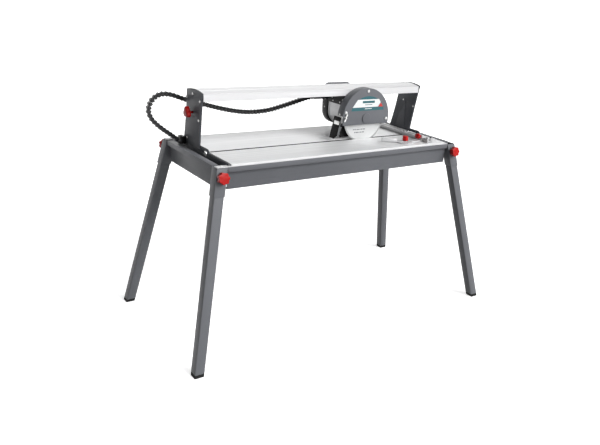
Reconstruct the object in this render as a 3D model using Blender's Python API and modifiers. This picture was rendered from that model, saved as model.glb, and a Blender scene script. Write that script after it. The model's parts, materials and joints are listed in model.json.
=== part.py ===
"""Bridge tile saw on four splayed legs: an aluminium table over a water tray, a tilting bridge rail and a
cutting head that rolls along it. Metres, +Z up. The origin is on the floor, midway between the four feet.
Length runs along X, the operator's side is -Y."""

import math

import bmesh
import bpy
from mathutils import Euler, Matrix, Vector

# ---------------------------------------------------------------- driving sizes
FIT = 0.0003  # gap kept between pieces that touch
SHEET = 0.002  # folded steel sheet

# frame
FRAME_LENGTH = 1.110
FRAME_DEPTH = 0.462
RIM_Z = 0.708
PANEL_HEIGHT = 0.080
BAND_HEIGHT = 0.018  # proud band along the top of each panel
PANEL_STEP = 0.012  # how far the panel below the band is set back

# legs
SOCKET_SIDE = 0.040
PANEL_LIP = 0.6 * SOCKET_SIDE  # the water tray rests on the long panels' lips
END_FLANGE = 0.6 * SOCKET_SIDE
SOCKET_WALL = 0.0017
SOCKET_TOP_DROP = 0.0016  # from the rim down to the top of a socket, under the table rails
SOCKET_DROP = 0.096
LEG_SIDE = 0.036
LEG_WALL = 0.0018
LEG_INSERT = 0.090  # length of leg held inside its socket
FOOT_SPREAD_X = 0.700
FOOT_SPREAD_Y = 0.343
FOOT_CAP = 0.012
FOOT_PLUG = 0.020

# table
TABLE_TOP = 0.716
TABLE_THICKNESS = 0.006
TABLE_LENGTH = 1.000
TABLE_FRONT_OVERHANG = 0.0045  # from the frame's front face back to the plate's edge
TABLE_REAR_Y = 0.200
TABLE_RAIL_THICKNESS = 0.003
TABLE_RAIL_DEPTH = 0.0232
TRAY_LENGTH = 0.988
TRAY_WALL = 0.002
TRAY_TOP_GAP = 0.004  # from the table rails down to the tray's edge
TRAY_FRONT_Y = -0.204
TRAY_REAR_Y = 0.198

# blade and its plane
BLADE_RADIUS = 0.100
BLADE_THICKNESS = 0.002
BLADE_BORE = 0.0127
BLADE_Y = -0.050
BLADE_DIP = 0.015  # how far the blade reaches below the table top
SLOT_FRONT = 0.007  # from the blade plane to the front table plate
SLOT_REAR = 0.006

# bevel pivot and uprights
PIVOT_Z = TABLE_TOP - 0.004
PIVOT_RADIUS = 0.005
PIVOT_LUG = 0.011
UPRIGHT_THICKNESS = 0.003
UPRIGHT_X = 0.5065  # inner face of each fixed upright
FOOT_PLATE_BOTTOM = 0.655
CLAMP_RADIUS = 0.163  # from the pivot to the clamping stud
CLAMP_ANGLE = math.radians(50)
BEVEL_RANGE = math.radians(45)
STUD_RADIUS = 0.004

# bridge rail
RAIL_LENGTH = 1.0042
RAIL_FRONT_Y = -0.025
RAIL_DEPTH = 0.122
RAIL_BOTTOM = 0.885
RAIL_FRONT_HEIGHT = 0.027
RAIL_CROWN = 0.007
CHANNEL_CENTRE = 0.040
CHANNEL_WIDTH = 0.060
CHANNEL_MOUTH = 0.024
CHANNEL_LIP = 0.003
CHANNEL_HEIGHT = 0.0215
RAIL_WALL = 0.0035

# cutting head
HEAD_X = 0.1925
HUB_Z = TABLE_TOP - BLADE_DIP + BLADE_RADIUS
SADDLE_LENGTH = 0.150
SADDLE_BOTTOM = 0.858
SADDLE_GAP = 0.0025  # between the saddle and the underside of the rail
SADDLE_FRONT_Y = -0.020
SADDLE_REAR_Y = 0.166
WEB_THICKNESS = 0.015
WEB_LENGTH = 0.130
ROLLER_RADIUS = 0.0082
ROLLER_WIDTH = 0.014
ROLLER_SPREAD = 0.055
AXLE_RADIUS = 0.003
MOTOR_RADIUS = 0.056
MOTOR_WALL = 0.004
MOTOR_FRONT_Y = -0.0272
MOTOR_REAR_Y = 0.126
COVER_RADIUS = 0.060
COVER_REAR_Y = 0.166
COVER_WALL = 0.006
SHAFT_RADIUS = 0.006
BEARING_RADIUS = 0.016
GUARD_RADIUS = BLADE_RADIUS + 0.018
GUARD_WALL = 0.0025
GUARD_FRONT_Y = -0.066
GUARD_BACK_Y = -0.0275
GUARD_BOTTOM = 0.025  # from the hub down to the guard's lower edge
FLANGE_RADIUS = 0.022
FLAP_THICKNESS = 0.003
FLAP_X = HEAD_X - GUARD_RADIUS - 0.0065
FLAP_TOP = 0.8085
FLAP_LENGTH = 0.087
FLAP_LEAN = math.radians(13)  # the flap hangs with its foot away from the blade
HANDLE_RADIUS = 0.0085
HANDLE_Y = 0.145
HANDLE_Z = 0.903
HANDLE_HALF = 0.058

# fence and angle guide
BAR_X = 0.424
BAR_WIDTH = 0.030
BAR_HEIGHT = 0.015
BAR_FRONT_Y = -0.215
BAR_REAR_Y = 0.115
GROOVE_WIDTH = 0.007
GROOVE_DEPTH = 0.006
BLOCK_Y = -0.167
BLOCK_DEPTH = 0.036
BLOCK_KNOB_Z = 0.7355
HOOK_THICKNESS = 0.0035
DISC_RADIUS = 0.032
DISC_THICKNESS = 0.004
ARM_PIVOT_X = 0.317
ARM_PIVOT_Y = -0.180
ARM_ANGLE = math.radians(27)
ARM_LENGTH = 0.099
ARM_WIDTH = 0.013
ARM_FOOT = 0.0036
ARM_HEIGHT = 0.013
ARM_FENCE_START = 0.036

# cable chain
CHAIN_RADIUS = 0.0085
CHAIN_Y = 0.130
CLAMP_GAP = 0.0075  # from the first point of the route to the clamp
CLAMP_HALF = 0.016
CHAIN_END_X = HEAD_X - 0.1325
CHAIN_ROUTE = (
    (-0.5375, 0.133, 0.7230),
    (-0.5480, 0.1325, 0.7310),
    (-0.5720, 0.131, 0.7490),
    (-0.5990, CHAIN_Y, 0.7690),
    (-0.6220, CHAIN_Y, 0.7900),
    (-0.6390, CHAIN_Y, 0.8120),
    (-0.6440, CHAIN_Y, 0.8370),
    (-0.6350, CHAIN_Y, 0.8620),
    (-0.6130, CHAIN_Y, 0.8830),
    (-0.5850, CHAIN_Y, 0.8905),
    (-0.5480, CHAIN_Y, 0.8840),
    (-0.5100, CHAIN_Y, 0.8700),
    (-0.4320, CHAIN_Y, 0.8480),
    (-0.3640, CHAIN_Y, 0.8300),
    (-0.2930, CHAIN_Y, 0.8155),
    (-0.2280, CHAIN_Y, 0.8095),
    (-0.1530, CHAIN_Y, 0.8135),
    (-0.0840, CHAIN_Y, 0.8275),
    (-0.0040, CHAIN_Y, 0.8470),
    (0.0300, CHAIN_Y, 0.8555),
    (CHAIN_END_X - 0.0025, CHAIN_Y, 0.8590),
)

# knobs
LEG_KNOB_RADIUS = 0.021
WING_KNOB_RADIUS = 0.0225
WING_STANDOFF = 0.014
GUIDE_KNOB_RADIUS = 0.0145
KNOB_HEIGHT = 0.016

SIDES = {"left": -1, "right": 1}
ENDS = {"front": -1, "rear": 1}
ROUND = 40  # segments of a large turned piece
SMALL_ROUND = 16

ON_X = (math.radians(90), 0, math.radians(90))  # a flat outline's x, y, z become Y, Z, X
ON_Y = (math.radians(90), 0, 0)  # a flat outline's x, y become X, Z
SPIN_Y = (math.radians(-90), 0, 0)  # a turned piece's axis becomes +Y
SPIN_X = (0, math.radians(90), 0)
SPIN_Z = (0, 0, 0)


# ---------------------------------------------------------------- scene and materials
def clear_scene():
    for old in list(bpy.data.objects):
        bpy.data.objects.remove(old, do_unlink=True)


def collection(name, hidden=False):
    made = bpy.data.collections.new(name)
    bpy.context.scene.collection.children.link(made)
    made.hide_render = hidden
    return made


def material(name, colour, roughness, metallic):
    made = bpy.data.materials.new(name)
    made.use_nodes = True
    shader = made.node_tree.nodes["Principled BSDF"]
    shader.inputs["Base Color"].default_value = (*colour, 1)
    shader.inputs["Roughness"].default_value = roughness
    shader.inputs["Metallic"].default_value = metallic
    return made


clear_scene()
PARTS = collection("tile_saw")
CUTTERS = collection("cutters", hidden=True)
GREY_PAINT = material("grey_paint", (0.17, 0.18, 0.195), 0.45, 0.0)
DARK_PAINT = material("dark_paint", (0.04, 0.042, 0.048), 0.5, 0.0)
ALUMINIUM = material("aluminium", (0.78, 0.78, 0.78), 0.35, 1.0)
STEEL = material("steel", (0.6, 0.6, 0.6), 0.3, 1.0)
BLADE_STEEL = material("blade_steel", (0.75, 0.75, 0.74), 0.3, 1.0)
RED_PLASTIC = material("red_plastic", (0.6, 0.02, 0.015), 0.4, 0.0)
BLACK_PLASTIC = material("black_plastic", (0.012, 0.012, 0.013), 0.5, 0.0)
RUBBER = material("rubber", (0.01, 0.01, 0.01), 0.8, 0.0)
COPPER = material("copper", (0.6, 0.3, 0.15), 0.4, 1.0)


# ---------------------------------------------------------------- shapes
def place(thing, finish, where=PARTS):
    where.objects.link(thing)
    if finish is not None:
        thing.data.materials.append(finish)
    if where is CUTTERS:
        thing.hide_render = True
        thing.display_type = "WIRE"
    return thing


def mesh_object(name, shape, finish, where=PARTS):
    mesh = bpy.data.meshes.new(name)
    shape.to_mesh(mesh)
    shape.free()
    return place(bpy.data.objects.new(name, mesh), finish, where)


def box(name, low, high, finish=None, where=PARTS, bevel=0.0):
    """A block between two corners, with its origin in its middle."""
    low, high = Vector(low), Vector(high)
    shape = bmesh.new()
    bmesh.ops.create_cube(shape, size=1)
    bmesh.ops.scale(shape, vec=high - low, verts=shape.verts)
    made = mesh_object(name, shape, finish, where)
    made.location = (low + high) / 2
    if bevel:
        rounding = made.modifiers.new("rounding", "BEVEL")
        rounding.width = bevel
        rounding.segments = 2
    return made


def leaning_box(name, side, top, bottom, finish=None, where=PARTS):
    """A square bar with level ends whose middle line runs from top to bottom."""
    top, bottom = Vector(top), Vector(bottom)
    shape = bmesh.new()
    bmesh.ops.create_cube(shape, size=1)
    for corner in shape.verts:
        end = top if corner.co.z > 0 else bottom
        corner.co = Vector((corner.co.x * side, corner.co.y * side, 0)) + end
    return mesh_object(name, shape, finish, where)


def plate(name, outlines, thickness, turn, middle, finish=None, where=PARTS):
    """A flat outline with holes, as thick as stated, laid in a plane by turn and centred on middle."""
    curve = bpy.data.curves.new(name, "CURVE")
    curve.dimensions = "2D"
    curve.fill_mode = "BOTH"
    curve.extrude = thickness / 2
    for outline in outlines:
        spline = curve.splines.new("POLY")
        spline.points.add(len(outline) - 1)
        for point, (x, y) in zip(spline.points, outline):
            point.co = (x, y, 0, 1)
        spline.use_cyclic_u = True
    made = place(bpy.data.objects.new(name, curve), None if where is CUTTERS else finish, where)
    made.rotation_euler = turn
    made.location = middle
    return made


def turned(name, profile, turn, centre, finish=None, where=PARTS, segments=ROUND):
    """A profile of (radius, height) points, outer side top to bottom, spun about its own axis."""
    mesh = bpy.data.meshes.new(name)
    edges = [(i, i + 1) for i in range(len(profile) - 1)]
    if profile[0][0] > 0:
        edges.append((len(profile) - 1, 0))
    mesh.from_pydata([(radius, 0, height) for radius, height in profile], edges, [])
    made = place(bpy.data.objects.new(name, mesh), finish, where)
    screw = made.modifiers.new("turning", "SCREW")
    screw.steps = segments
    screw.render_steps = segments
    screw.use_merge_vertices = True
    screw.merge_threshold = 0.00001
    made.rotation_euler = turn
    made.location = centre
    return made


def rod(radius, low, high):
    """The profile of a solid round bar."""
    return [(0, high), (radius, high), (radius, low), (0, low)]


def ring(inner, outer, low, high):
    """The profile of a round bar with a bore."""
    return [(inner, high), (outer, high), (outer, low), (inner, low)]


def as_mesh(made):
    """The same object as a plain mesh with its modifiers applied, so that it can be cut."""
    bpy.context.view_layer.update()
    graph = bpy.context.evaluated_depsgraph_get()
    mesh = bpy.data.meshes.new_from_object(made.evaluated_get(graph))
    shape = bmesh.new()
    shape.from_mesh(mesh)
    bmesh.ops.remove_doubles(shape, verts=shape.verts, dist=0.000001)
    shape.to_mesh(mesh)
    shape.free()
    name, turn, where = made.name, made.matrix_world.copy(), made.users_collection[0]
    bpy.data.objects.remove(made)
    solid = bpy.data.objects.new(name, mesh)
    where.objects.link(solid)
    solid.name = name
    solid.matrix_world = turn
    if where is CUTTERS:
        solid.hide_render = True
        solid.display_type = "WIRE"
    return solid


def combine(made, tool, operation):
    change = made.modifiers.new(operation.lower(), "BOOLEAN")
    change.operation = operation
    change.solver = "EXACT"
    change.object = tool
    return made


def cut(made, tool):
    return combine(made, tool, "DIFFERENCE")


def join(made, tool):
    return combine(made, tool, "UNION")


def smooth(made, angle=math.radians(35)):
    if made.type == "MESH":
        made.data.shade_smooth()
        made.data.set_sharp_from_angle(angle=angle)
    return made


def arc(centre, radius, start, end, steps):
    """Points on a circle from one angle to another, in degrees."""
    points = []
    for step in range(steps + 1):
        angle = math.radians(start + (end - start) * step / steps)
        points.append((centre[0] + radius * math.cos(angle), centre[1] + radius * math.sin(angle)))
    return points


def circle(centre, radius, steps=SMALL_ROUND):
    return arc(centre, radius, 0, 360, steps)[:-1]


def bend(start, control, end, steps=6):
    """Points on a smooth bend from start to end, pulled towards control."""
    points = []
    for step in range(steps + 1):
        t = step / steps
        near, between, far = (1 - t) ** 2, 2 * t * (1 - t), t * t
        points.append(
            tuple(near * a + between * b + far * c for a, b, c in zip(start, control, end))
        )
    return points


def smooth_route(points, spacing):
    """Points a stated spacing apart on a Catmull-Rom curve through the route."""
    ends = [Vector(p) for p in points]
    ends = [2 * ends[0] - ends[1], *ends, 2 * ends[-1] - ends[-2]]
    fine = []
    for a, b, c, d in zip(ends, ends[1:], ends[2:], ends[3:]):
        for step in range(12):
            t = step / 12
            square = (2 * a - 5 * b + 4 * c - d) * t**2
            cube = (3 * b - a - 3 * c + d) * t**3
            fine.append(0.5 * (2 * b + (c - a) * t + square + cube))
    fine.append(ends[-2])
    length = sum((q - p).length for p, q in zip(fine, fine[1:]))
    count = max(2, round(length / spacing))
    route, walked, target = [fine[0]], 0.0, length / count
    for p, q in zip(fine, fine[1:]):
        step = (q - p).length
        while walked + step >= target - 1e-9 and len(route) < count:
            route.append(p.lerp(q, (target - walked) / step))
            target += length / count
        walked += step
    route.append(fine[-1])
    return route


def tube(name, points, radius, finish, resolution=2):
    curve = bpy.data.curves.new(name, "CURVE")
    curve.dimensions = "3D"
    curve.bevel_depth = radius
    curve.bevel_resolution = resolution
    curve.use_fill_caps = True
    spline = curve.splines.new("POLY")
    spline.points.add(len(points) - 1)
    for point, place_at in zip(spline.points, points):
        point.co = (*place_at, 1)
    return place(bpy.data.objects.new(name, curve), finish)


def star(radius, lobes, depth, steps):
    """The outline of a knob with rounded lobes."""
    points = []
    for step in range(steps):
        angle = 2 * math.pi * step / steps
        reach = radius * (1 - depth / 2 + depth / 2 * math.cos(lobes * angle))
        points.append((reach * math.cos(angle), reach * math.sin(angle)))
    return points


def knob(name, base, outward, radius, lobes, depth, shank, height):
    """A knob whose shank starts at base and points outward; its origin is on its own axis."""
    turn = Vector((0, 0, 1)).rotation_difference(Vector(outward)).to_euler()
    steps = lobes * 8
    head = plate(name, [star(radius, lobes, depth, steps)], height, turn, base, RED_PLASTIC)
    head = as_mesh(head)
    head.data.transform(Matrix.Translation((0, 0, shank + height / 2)))
    stem = turned(name + "_stem", rod(STUD_RADIUS, 0, shank + height / 2), SPIN_Z, (0, 0, 0), None, CUTTERS)
    stem.rotation_euler = turn
    stem.location = base
    return join(head, stem)


# ---------------------------------------------------------------- frame
def panel_profile(outer, inward):
    """The folded section of a side panel, as (across, up) points; inward is +1 or -1."""
    step = outer + inward * PANEL_STEP
    bottom = RIM_Z - PANEL_HEIGHT
    band = RIM_Z - BAND_HEIGHT
    return [
        (outer, RIM_Z),
        (outer, band),
        (step, band),
        (step, bottom),
        (step + inward * PANEL_LIP, bottom),
        (step + inward * PANEL_LIP, bottom + SHEET),
        (step + inward * SHEET, bottom + SHEET),
        (step + inward * SHEET, band + SHEET),
        (outer + inward * SHEET, band + SHEET),
        (outer + inward * SHEET, RIM_Z),
    ]


def long_panels():
    length = FRAME_LENGTH - 2 * SOCKET_SIDE - 2 * FIT
    for name, side in ENDS.items():
        profile = panel_profile(side * FRAME_DEPTH / 2, -side)
        plate(f"{name}_panel", [profile], length, ON_X, (0, 0, 0), GREY_PAINT)


def end_panels():
    length = FRAME_DEPTH - 2 * SOCKET_SIDE - 2 * FIT
    for name, side in SIDES.items():
        outer = side * FRAME_LENGTH / 2
        profile = panel_profile(outer, -side)[:-1]
        flange = outer - side * END_FLANGE
        profile += [(outer - side * SHEET, RIM_Z - SHEET), (flange, RIM_Z - SHEET), (flange, RIM_Z)]
        plate(f"{name}_end_panel", [profile], length, ON_Y, (0, 0, 0), GREY_PAINT)


def leg_line(side_x, side_y, height):
    """The middle of a leg at a height above the floor."""
    half_length = (FRAME_LENGTH - SOCKET_SIDE) / 2
    half_depth = (FRAME_DEPTH - SOCKET_SIDE) / 2
    top = Vector((side_x * half_length, side_y * half_depth, RIM_Z))
    foot = Vector((side_x * FOOT_SPREAD_X, side_y * FOOT_SPREAD_Y, 0))
    return foot.lerp(top, height / RIM_Z)


def square_tube(name, side, wall, line, top, bottom, finish):
    outer = leaning_box(name, side, line(top), line(bottom), finish)
    over = 0.005
    inner = side - 2 * wall
    bore = leaning_box(f"{name}_bore", inner, line(top + over), line(bottom - over), None, CUTTERS)
    return cut(outer, bore)


def legs():
    socket_top = RIM_Z - SOCKET_TOP_DROP
    for end_name, side_y in ENDS.items():
        for side_name, side_x in SIDES.items():
            tag = f"{end_name}_{side_name}"

            def line(height, side_x=side_x, side_y=side_y):
                return leg_line(side_x, side_y, height)

            socket = f"leg_socket_{tag}"
            socket_low = RIM_Z - SOCKET_DROP
            square_tube(socket, SOCKET_SIDE, SOCKET_WALL, line, socket_top, socket_low, GREY_PAINT)
            leg_top = socket_low + LEG_INSERT
            square_tube(f"leg_{tag}", LEG_SIDE, LEG_WALL, line, leg_top, FOOT_CAP + FIT, GREY_PAINT)
            cap = leaning_box(f"foot_{tag}", LEG_SIDE, line(FOOT_CAP), line(0), RUBBER)
            plug_side = LEG_SIDE - 2 * LEG_WALL - 2 * FIT
            plug = leaning_box(
                f"foot_plug_{tag}", plug_side, line(FOOT_CAP + FOOT_PLUG), line(FOOT_CAP / 2), None, CUTTERS
            )
            join(cap, plug)
            leg_knob(tag, side_x, side_y)


def leg_knob(tag, side_x, side_y):
    height = RIM_Z - 0.033
    middle = leg_line(side_x, side_y, height)
    lean = Vector((0, side_y, (FOOT_SPREAD_Y - (FRAME_DEPTH - SOCKET_SIDE) / 2) / RIM_Z)).normalized()
    base = middle + Vector((0, side_y * (SOCKET_SIDE / 2 + FIT), 0)) + lean * 0.001
    knob(f"leg_knob_{tag}", base, lean, LEG_KNOB_RADIUS, 7, 0.16, 0.006, KNOB_HEIGHT)


def table():
    top = TABLE_TOP
    under = TABLE_TOP - TABLE_THICKNESS
    half = TABLE_LENGTH / 2
    front_y = -FRAME_DEPTH / 2 + TABLE_FRONT_OVERHANG
    box("table_front_plate", (-half, front_y, under), (half, BLADE_Y - SLOT_FRONT, top), ALUMINIUM)
    box("table_rear_plate", (-half, BLADE_Y + SLOT_REAR, under), (half, TABLE_REAR_Y, top), ALUMINIUM)
    left = -FRAME_LENGTH / 2 + SHEET
    right = FRAME_LENGTH / 2 - SOCKET_SIDE - FIT
    rail_top = under - FIT
    outer = FRAME_DEPTH / 2 - SHEET - FIT
    for name, side in ENDS.items():
        low = min(side * outer, side * (outer - TABLE_RAIL_DEPTH))
        high = max(side * outer, side * (outer - TABLE_RAIL_DEPTH))
        rail_low = rail_top - TABLE_RAIL_THICKNESS
        box(f"table_{name}_rail", (left, low, rail_low), (right, high, rail_top), ALUMINIUM)


def tray():
    half = TRAY_LENGTH / 2
    top = TABLE_TOP - TABLE_THICKNESS - TABLE_RAIL_THICKNESS - 2 * FIT - TRAY_TOP_GAP
    bottom = RIM_Z - PANEL_HEIGHT + SHEET + FIT
    pan = box("water_tray", (-half, TRAY_FRONT_Y, bottom), (half, TRAY_REAR_Y, top), BLACK_PLASTIC)
    inside = box(
        "tray_inside",
        (-half + TRAY_WALL, TRAY_FRONT_Y + TRAY_WALL, bottom + TRAY_WALL),
        (half - TRAY_WALL, TRAY_REAR_Y - TRAY_WALL, top + 0.01),
        None,
        CUTTERS,
    )
    cut(pan, inside)


# ---------------------------------------------------------------- uprights and bevel pivot
UPRIGHT_REAR = bend((0.144, TABLE_TOP), (0.112, 0.810), (0.098, 0.912), 8)
UPRIGHT_TOP = bend((0.098, 0.912), (0.035, 0.928), (-0.028, 0.914), 8)
UPRIGHT_FRONT = bend((-0.028, 0.914), (-0.012, 0.850), (0.008, 0.728), 6)


def clamp_point():
    return (BLADE_Y + CLAMP_RADIUS * math.cos(CLAMP_ANGLE), PIVOT_Z + CLAMP_RADIUS * math.sin(CLAMP_ANGLE))


def upright_outline():
    nose = -FRAME_DEPTH / 2 + 0.012
    lug_start = math.degrees(math.asin((TABLE_TOP - PIVOT_Z) / PIVOT_LUG))
    rail_back = -FRAME_DEPTH / 2 + SHEET + TABLE_RAIL_DEPTH + 3 * FIT
    rail_top = TABLE_TOP - TABLE_THICKNESS
    return [
        (rail_back, FOOT_PLATE_BOTTOM),
        (0.165, FOOT_PLATE_BOTTOM),
        (0.165, TABLE_TOP - 0.012),
        *UPRIGHT_REAR,
        *UPRIGHT_TOP[1:],
        *UPRIGHT_FRONT[1:],
        *bend((0.007, 0.722), (0.004, TABLE_TOP), (-0.006, TABLE_TOP), 4),
        *arc((BLADE_Y, PIVOT_Z), PIVOT_LUG, lug_start, 180 - lug_start, 8),
        (nose, TABLE_TOP),
        (nose, rail_top + FIT),
        (rail_back, rail_top + FIT),
    ]


def tilt_plate_outline():
    inset = 0.0015
    lobe = arc((BLADE_Y, PIVOT_Z), 0.015, 90, 270, 8)
    rear = [(y - inset, z) for y, z in UPRIGHT_REAR]
    top = [(y, z - inset) for y, z in UPRIGHT_TOP[1:-1]]
    front = [(y + inset, z - inset) for y, z in UPRIGHT_FRONT]
    return [*lobe, (0.125, PIVOT_Z - 0.015), *rear, *top, *front]


def arc_slot(radius, start, end, half_width):
    """The outline of a curved slot about the pivot, with round ends; angles in degrees."""
    centre = (BLADE_Y, PIVOT_Z)
    outer = arc(centre, radius + half_width, start, end, 10)
    far = arc(centre, radius, end, end, 1)[0]
    near = arc(centre, radius, start, start, 1)[0]
    inner = arc(centre, radius - half_width, end, start, 10)
    far_end = arc(far, half_width, end, end + 180, 5)[1:-1]
    near_end = arc(near, half_width, start - 180, start, 5)[1:-1]
    return [*outer, *far_end, *inner, *near_end]


def uprights():
    hole = PIVOT_RADIUS + FIT
    pivot = circle((BLADE_Y, PIVOT_Z), hole)
    stud = circle(clamp_point(), STUD_RADIUS + FIT)
    slot_half = STUD_RADIUS + 2 * FIT
    start = math.degrees(CLAMP_ANGLE - BEVEL_RANGE) - 1
    slot = arc_slot(CLAMP_RADIUS, start, math.degrees(CLAMP_ANGLE) + 1, slot_half)
    tilt_x = UPRIGHT_X - UPRIGHT_THICKNESS / 2 - 0.001
    for name, side in SIDES.items():
        outer_x = side * (UPRIGHT_X + UPRIGHT_THICKNESS / 2)
        outlines = [upright_outline(), pivot, stud]
        plate(f"{name}_upright", outlines, UPRIGHT_THICKNESS, ON_X, (outer_x, 0, 0), DARK_PAINT)
        plate(
            f"{name}_tilt_plate",
            [tilt_plate_outline(), pivot, slot],
            UPRIGHT_THICKNESS,
            ON_X,
            (side * tilt_x, 0, 0),
            DARK_PAINT,
        )
        inner_end = side * (TABLE_LENGTH / 2 + 0.001)
        face = side * (UPRIGHT_X + UPRIGHT_THICKNESS + FIT)
        head = 0.004
        low = min(inner_end, face)
        high = max(inner_end, face)
        shank = rod(PIVOT_RADIUS, low, high)
        axis = (0, BLADE_Y, PIVOT_Z)
        bolt = turned(f"{name}_pivot_bolt", shank, SPIN_X, axis, STEEL, segments=SMALL_ROUND)
        cap = turned(
            f"{name}_pivot_head",
            rod(0.009, min(face, face + side * head), max(face, face + side * head)),
            SPIN_X,
            axis,
            None,
            CUTTERS,
            SMALL_ROUND,
        )
        join(bolt, cap)
        wing_knob(name, side)


def wing_knob(name, side):
    y, z = clamp_point()
    inner = UPRIGHT_X - UPRIGHT_THICKNESS - 0.0010
    shank = UPRIGHT_X + UPRIGHT_THICKNESS + WING_STANDOFF - inner
    base = (side * inner, y, z)
    knob(f"{name}_bevel_knob", base, (side, 0, 0), WING_KNOB_RADIUS, 3, 0.42, shank, KNOB_HEIGHT)


# ---------------------------------------------------------------- bridge rail
def rail():
    front, back = RAIL_FRONT_Y, RAIL_FRONT_Y + RAIL_DEPTH
    low = RAIL_BOTTOM
    high = RAIL_BOTTOM + RAIL_FRONT_HEIGHT
    crown = high + 2 * RAIL_CROWN
    mouth = CHANNEL_MOUTH / 2
    width = CHANNEL_WIDTH / 2
    channel_low = low + CHANNEL_LIP
    channel_high = channel_low + CHANNEL_HEIGHT
    outline = [
        (front, low),
        (CHANNEL_CENTRE - mouth, low),
        (CHANNEL_CENTRE - mouth, channel_low),
        (CHANNEL_CENTRE - width, channel_low),
        (CHANNEL_CENTRE - width, channel_high),
        (CHANNEL_CENTRE + width, channel_high),
        (CHANNEL_CENTRE + width, channel_low),
        (CHANNEL_CENTRE + mouth, channel_low),
        (CHANNEL_CENTRE + mouth, low),
        (back, low),
        *bend((back, high - 0.002), ((front + back) / 2, crown), (front, high), 10),
    ]
    wall = RAIL_WALL
    roof = high - 0.0035
    chambers = [
        [(front + wall, low + wall), (CHANNEL_CENTRE - width - wall, low + wall),
         (CHANNEL_CENTRE - width - wall, roof), (front + wall, roof)],
        [(CHANNEL_CENTRE + width + wall, low + wall), (back - wall, low + wall),
         (back - wall, roof - 0.002), (CHANNEL_CENTRE + width + wall, roof - 0.002)],
    ]
    plate("rail", [outline, *chambers], RAIL_LENGTH, ON_X, (0, 0, 0), ALUMINIUM)


# ---------------------------------------------------------------- cutting head
def roller_height():
    return RAIL_BOTTOM + CHANNEL_LIP + ROLLER_RADIUS + FIT


def saddle():
    x0, x1 = HEAD_X - SADDLE_LENGTH / 2, HEAD_X + SADDLE_LENGTH / 2
    top = RAIL_BOTTOM - SADDLE_GAP
    body = box("saddle", (x0, SADDLE_FRONT_Y, SADDLE_BOTTOM), (x1, SADDLE_REAR_Y, top), BLACK_PLASTIC)
    hand = box(
        "hand_clearance",
        (HEAD_X - HANDLE_HALF + 0.012, RAIL_FRONT_Y + RAIL_DEPTH + 0.008, SADDLE_BOTTOM + 0.008),
        (HEAD_X + HANDLE_HALF - 0.012, SADDLE_REAR_Y + 0.01, top + 0.01),
        None,
        CUTTERS,
    )
    cut(body, hand)
    web_top = roller_height() + AXLE_RADIUS + 0.004
    web = box(
        "saddle_web",
        (HEAD_X - WEB_LENGTH / 2, CHANNEL_CENTRE - WEB_THICKNESS / 2, top - 0.005),
        (HEAD_X + WEB_LENGTH / 2, CHANNEL_CENTRE + WEB_THICKNESS / 2, web_top),
        None,
        CUTTERS,
    )
    join(body, web)
    arm = box(
        "saddle_chain_arm",
        (CHAIN_END_X, CHAIN_Y - 0.011, 0.850),
        (x0 + 0.01, CHAIN_Y + 0.011, 0.868),
        None,
        CUTTERS,
    )
    join(body, arm)
    reach = WEB_THICKNESS / 2 + 0.006 + ROLLER_WIDTH
    for name, side in SIDES.items():
        axle = turned(
            f"{name}_axle",
            rod(AXLE_RADIUS, -reach, reach),
            SPIN_Y,
            (HEAD_X + side * ROLLER_SPREAD, CHANNEL_CENTRE, roller_height()),
            None,
            CUTTERS,
            SMALL_ROUND,
        )
        join(body, axle)


def rollers():
    gap = WEB_THICKNESS / 2 + 0.0045
    for end_name, side_y in ENDS.items():
        for side_name, side_x in SIDES.items():
            turned(
                f"roller_{end_name}_{side_name}",
                ring(AXLE_RADIUS + FIT, ROLLER_RADIUS, -ROLLER_WIDTH / 2, ROLLER_WIDTH / 2),
                SPIN_Y,
                (
                    HEAD_X + side_x * ROLLER_SPREAD,
                    CHANNEL_CENTRE + side_y * (gap + ROLLER_WIDTH / 2),
                    roller_height(),
                ),
                BLACK_PLASTIC,
                segments=24,
            )


def u_outline(radius, top):
    """A half-round bottom about the hub with straight sides up to a height."""
    return [*arc((0, 0), radius, 180, 360, 16), (radius, top), (-radius, top)]


def motor():
    hub = (HEAD_X, 0, HUB_Z)
    top = SADDLE_BOTTOM - FIT - HUB_Z
    length = MOTOR_REAR_Y - MOTOR_FRONT_Y
    middle = (HEAD_X, (MOTOR_FRONT_Y + MOTOR_REAR_Y) / 2, HUB_Z)
    outline = u_outline(MOTOR_RADIUS, top)
    housing = as_mesh(plate("motor_housing", [outline], length, ON_Y, middle, ALUMINIUM))
    housing.data.materials.append(ALUMINIUM)
    cavity_front = 0.004
    cavity = turned(
        "motor_cavity",
        rod(MOTOR_RADIUS - MOTOR_WALL, cavity_front, MOTOR_REAR_Y + 0.01),
        SPIN_Y,
        hub,
        None,
        CUTTERS,
    )
    seat = rod(BEARING_RADIUS + FIT, MOTOR_FRONT_Y - 0.01, cavity_front + 0.01)
    bore = turned("motor_bore", seat, SPIN_Y, hub, None, CUTTERS)
    cut(housing, cavity)
    cut(housing, bore)
    turned("stator", ring(0.034, MOTOR_RADIUS - MOTOR_WALL - FIT, 0.025, 0.095), SPIN_Y, hub, COPPER)
    bearing = ring(SHAFT_RADIUS + FIT, BEARING_RADIUS, -0.017, -0.006)
    turned("front_bearing", bearing, SPIN_Y, hub, STEEL, segments=24)
    end_cover(hub, top)


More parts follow.
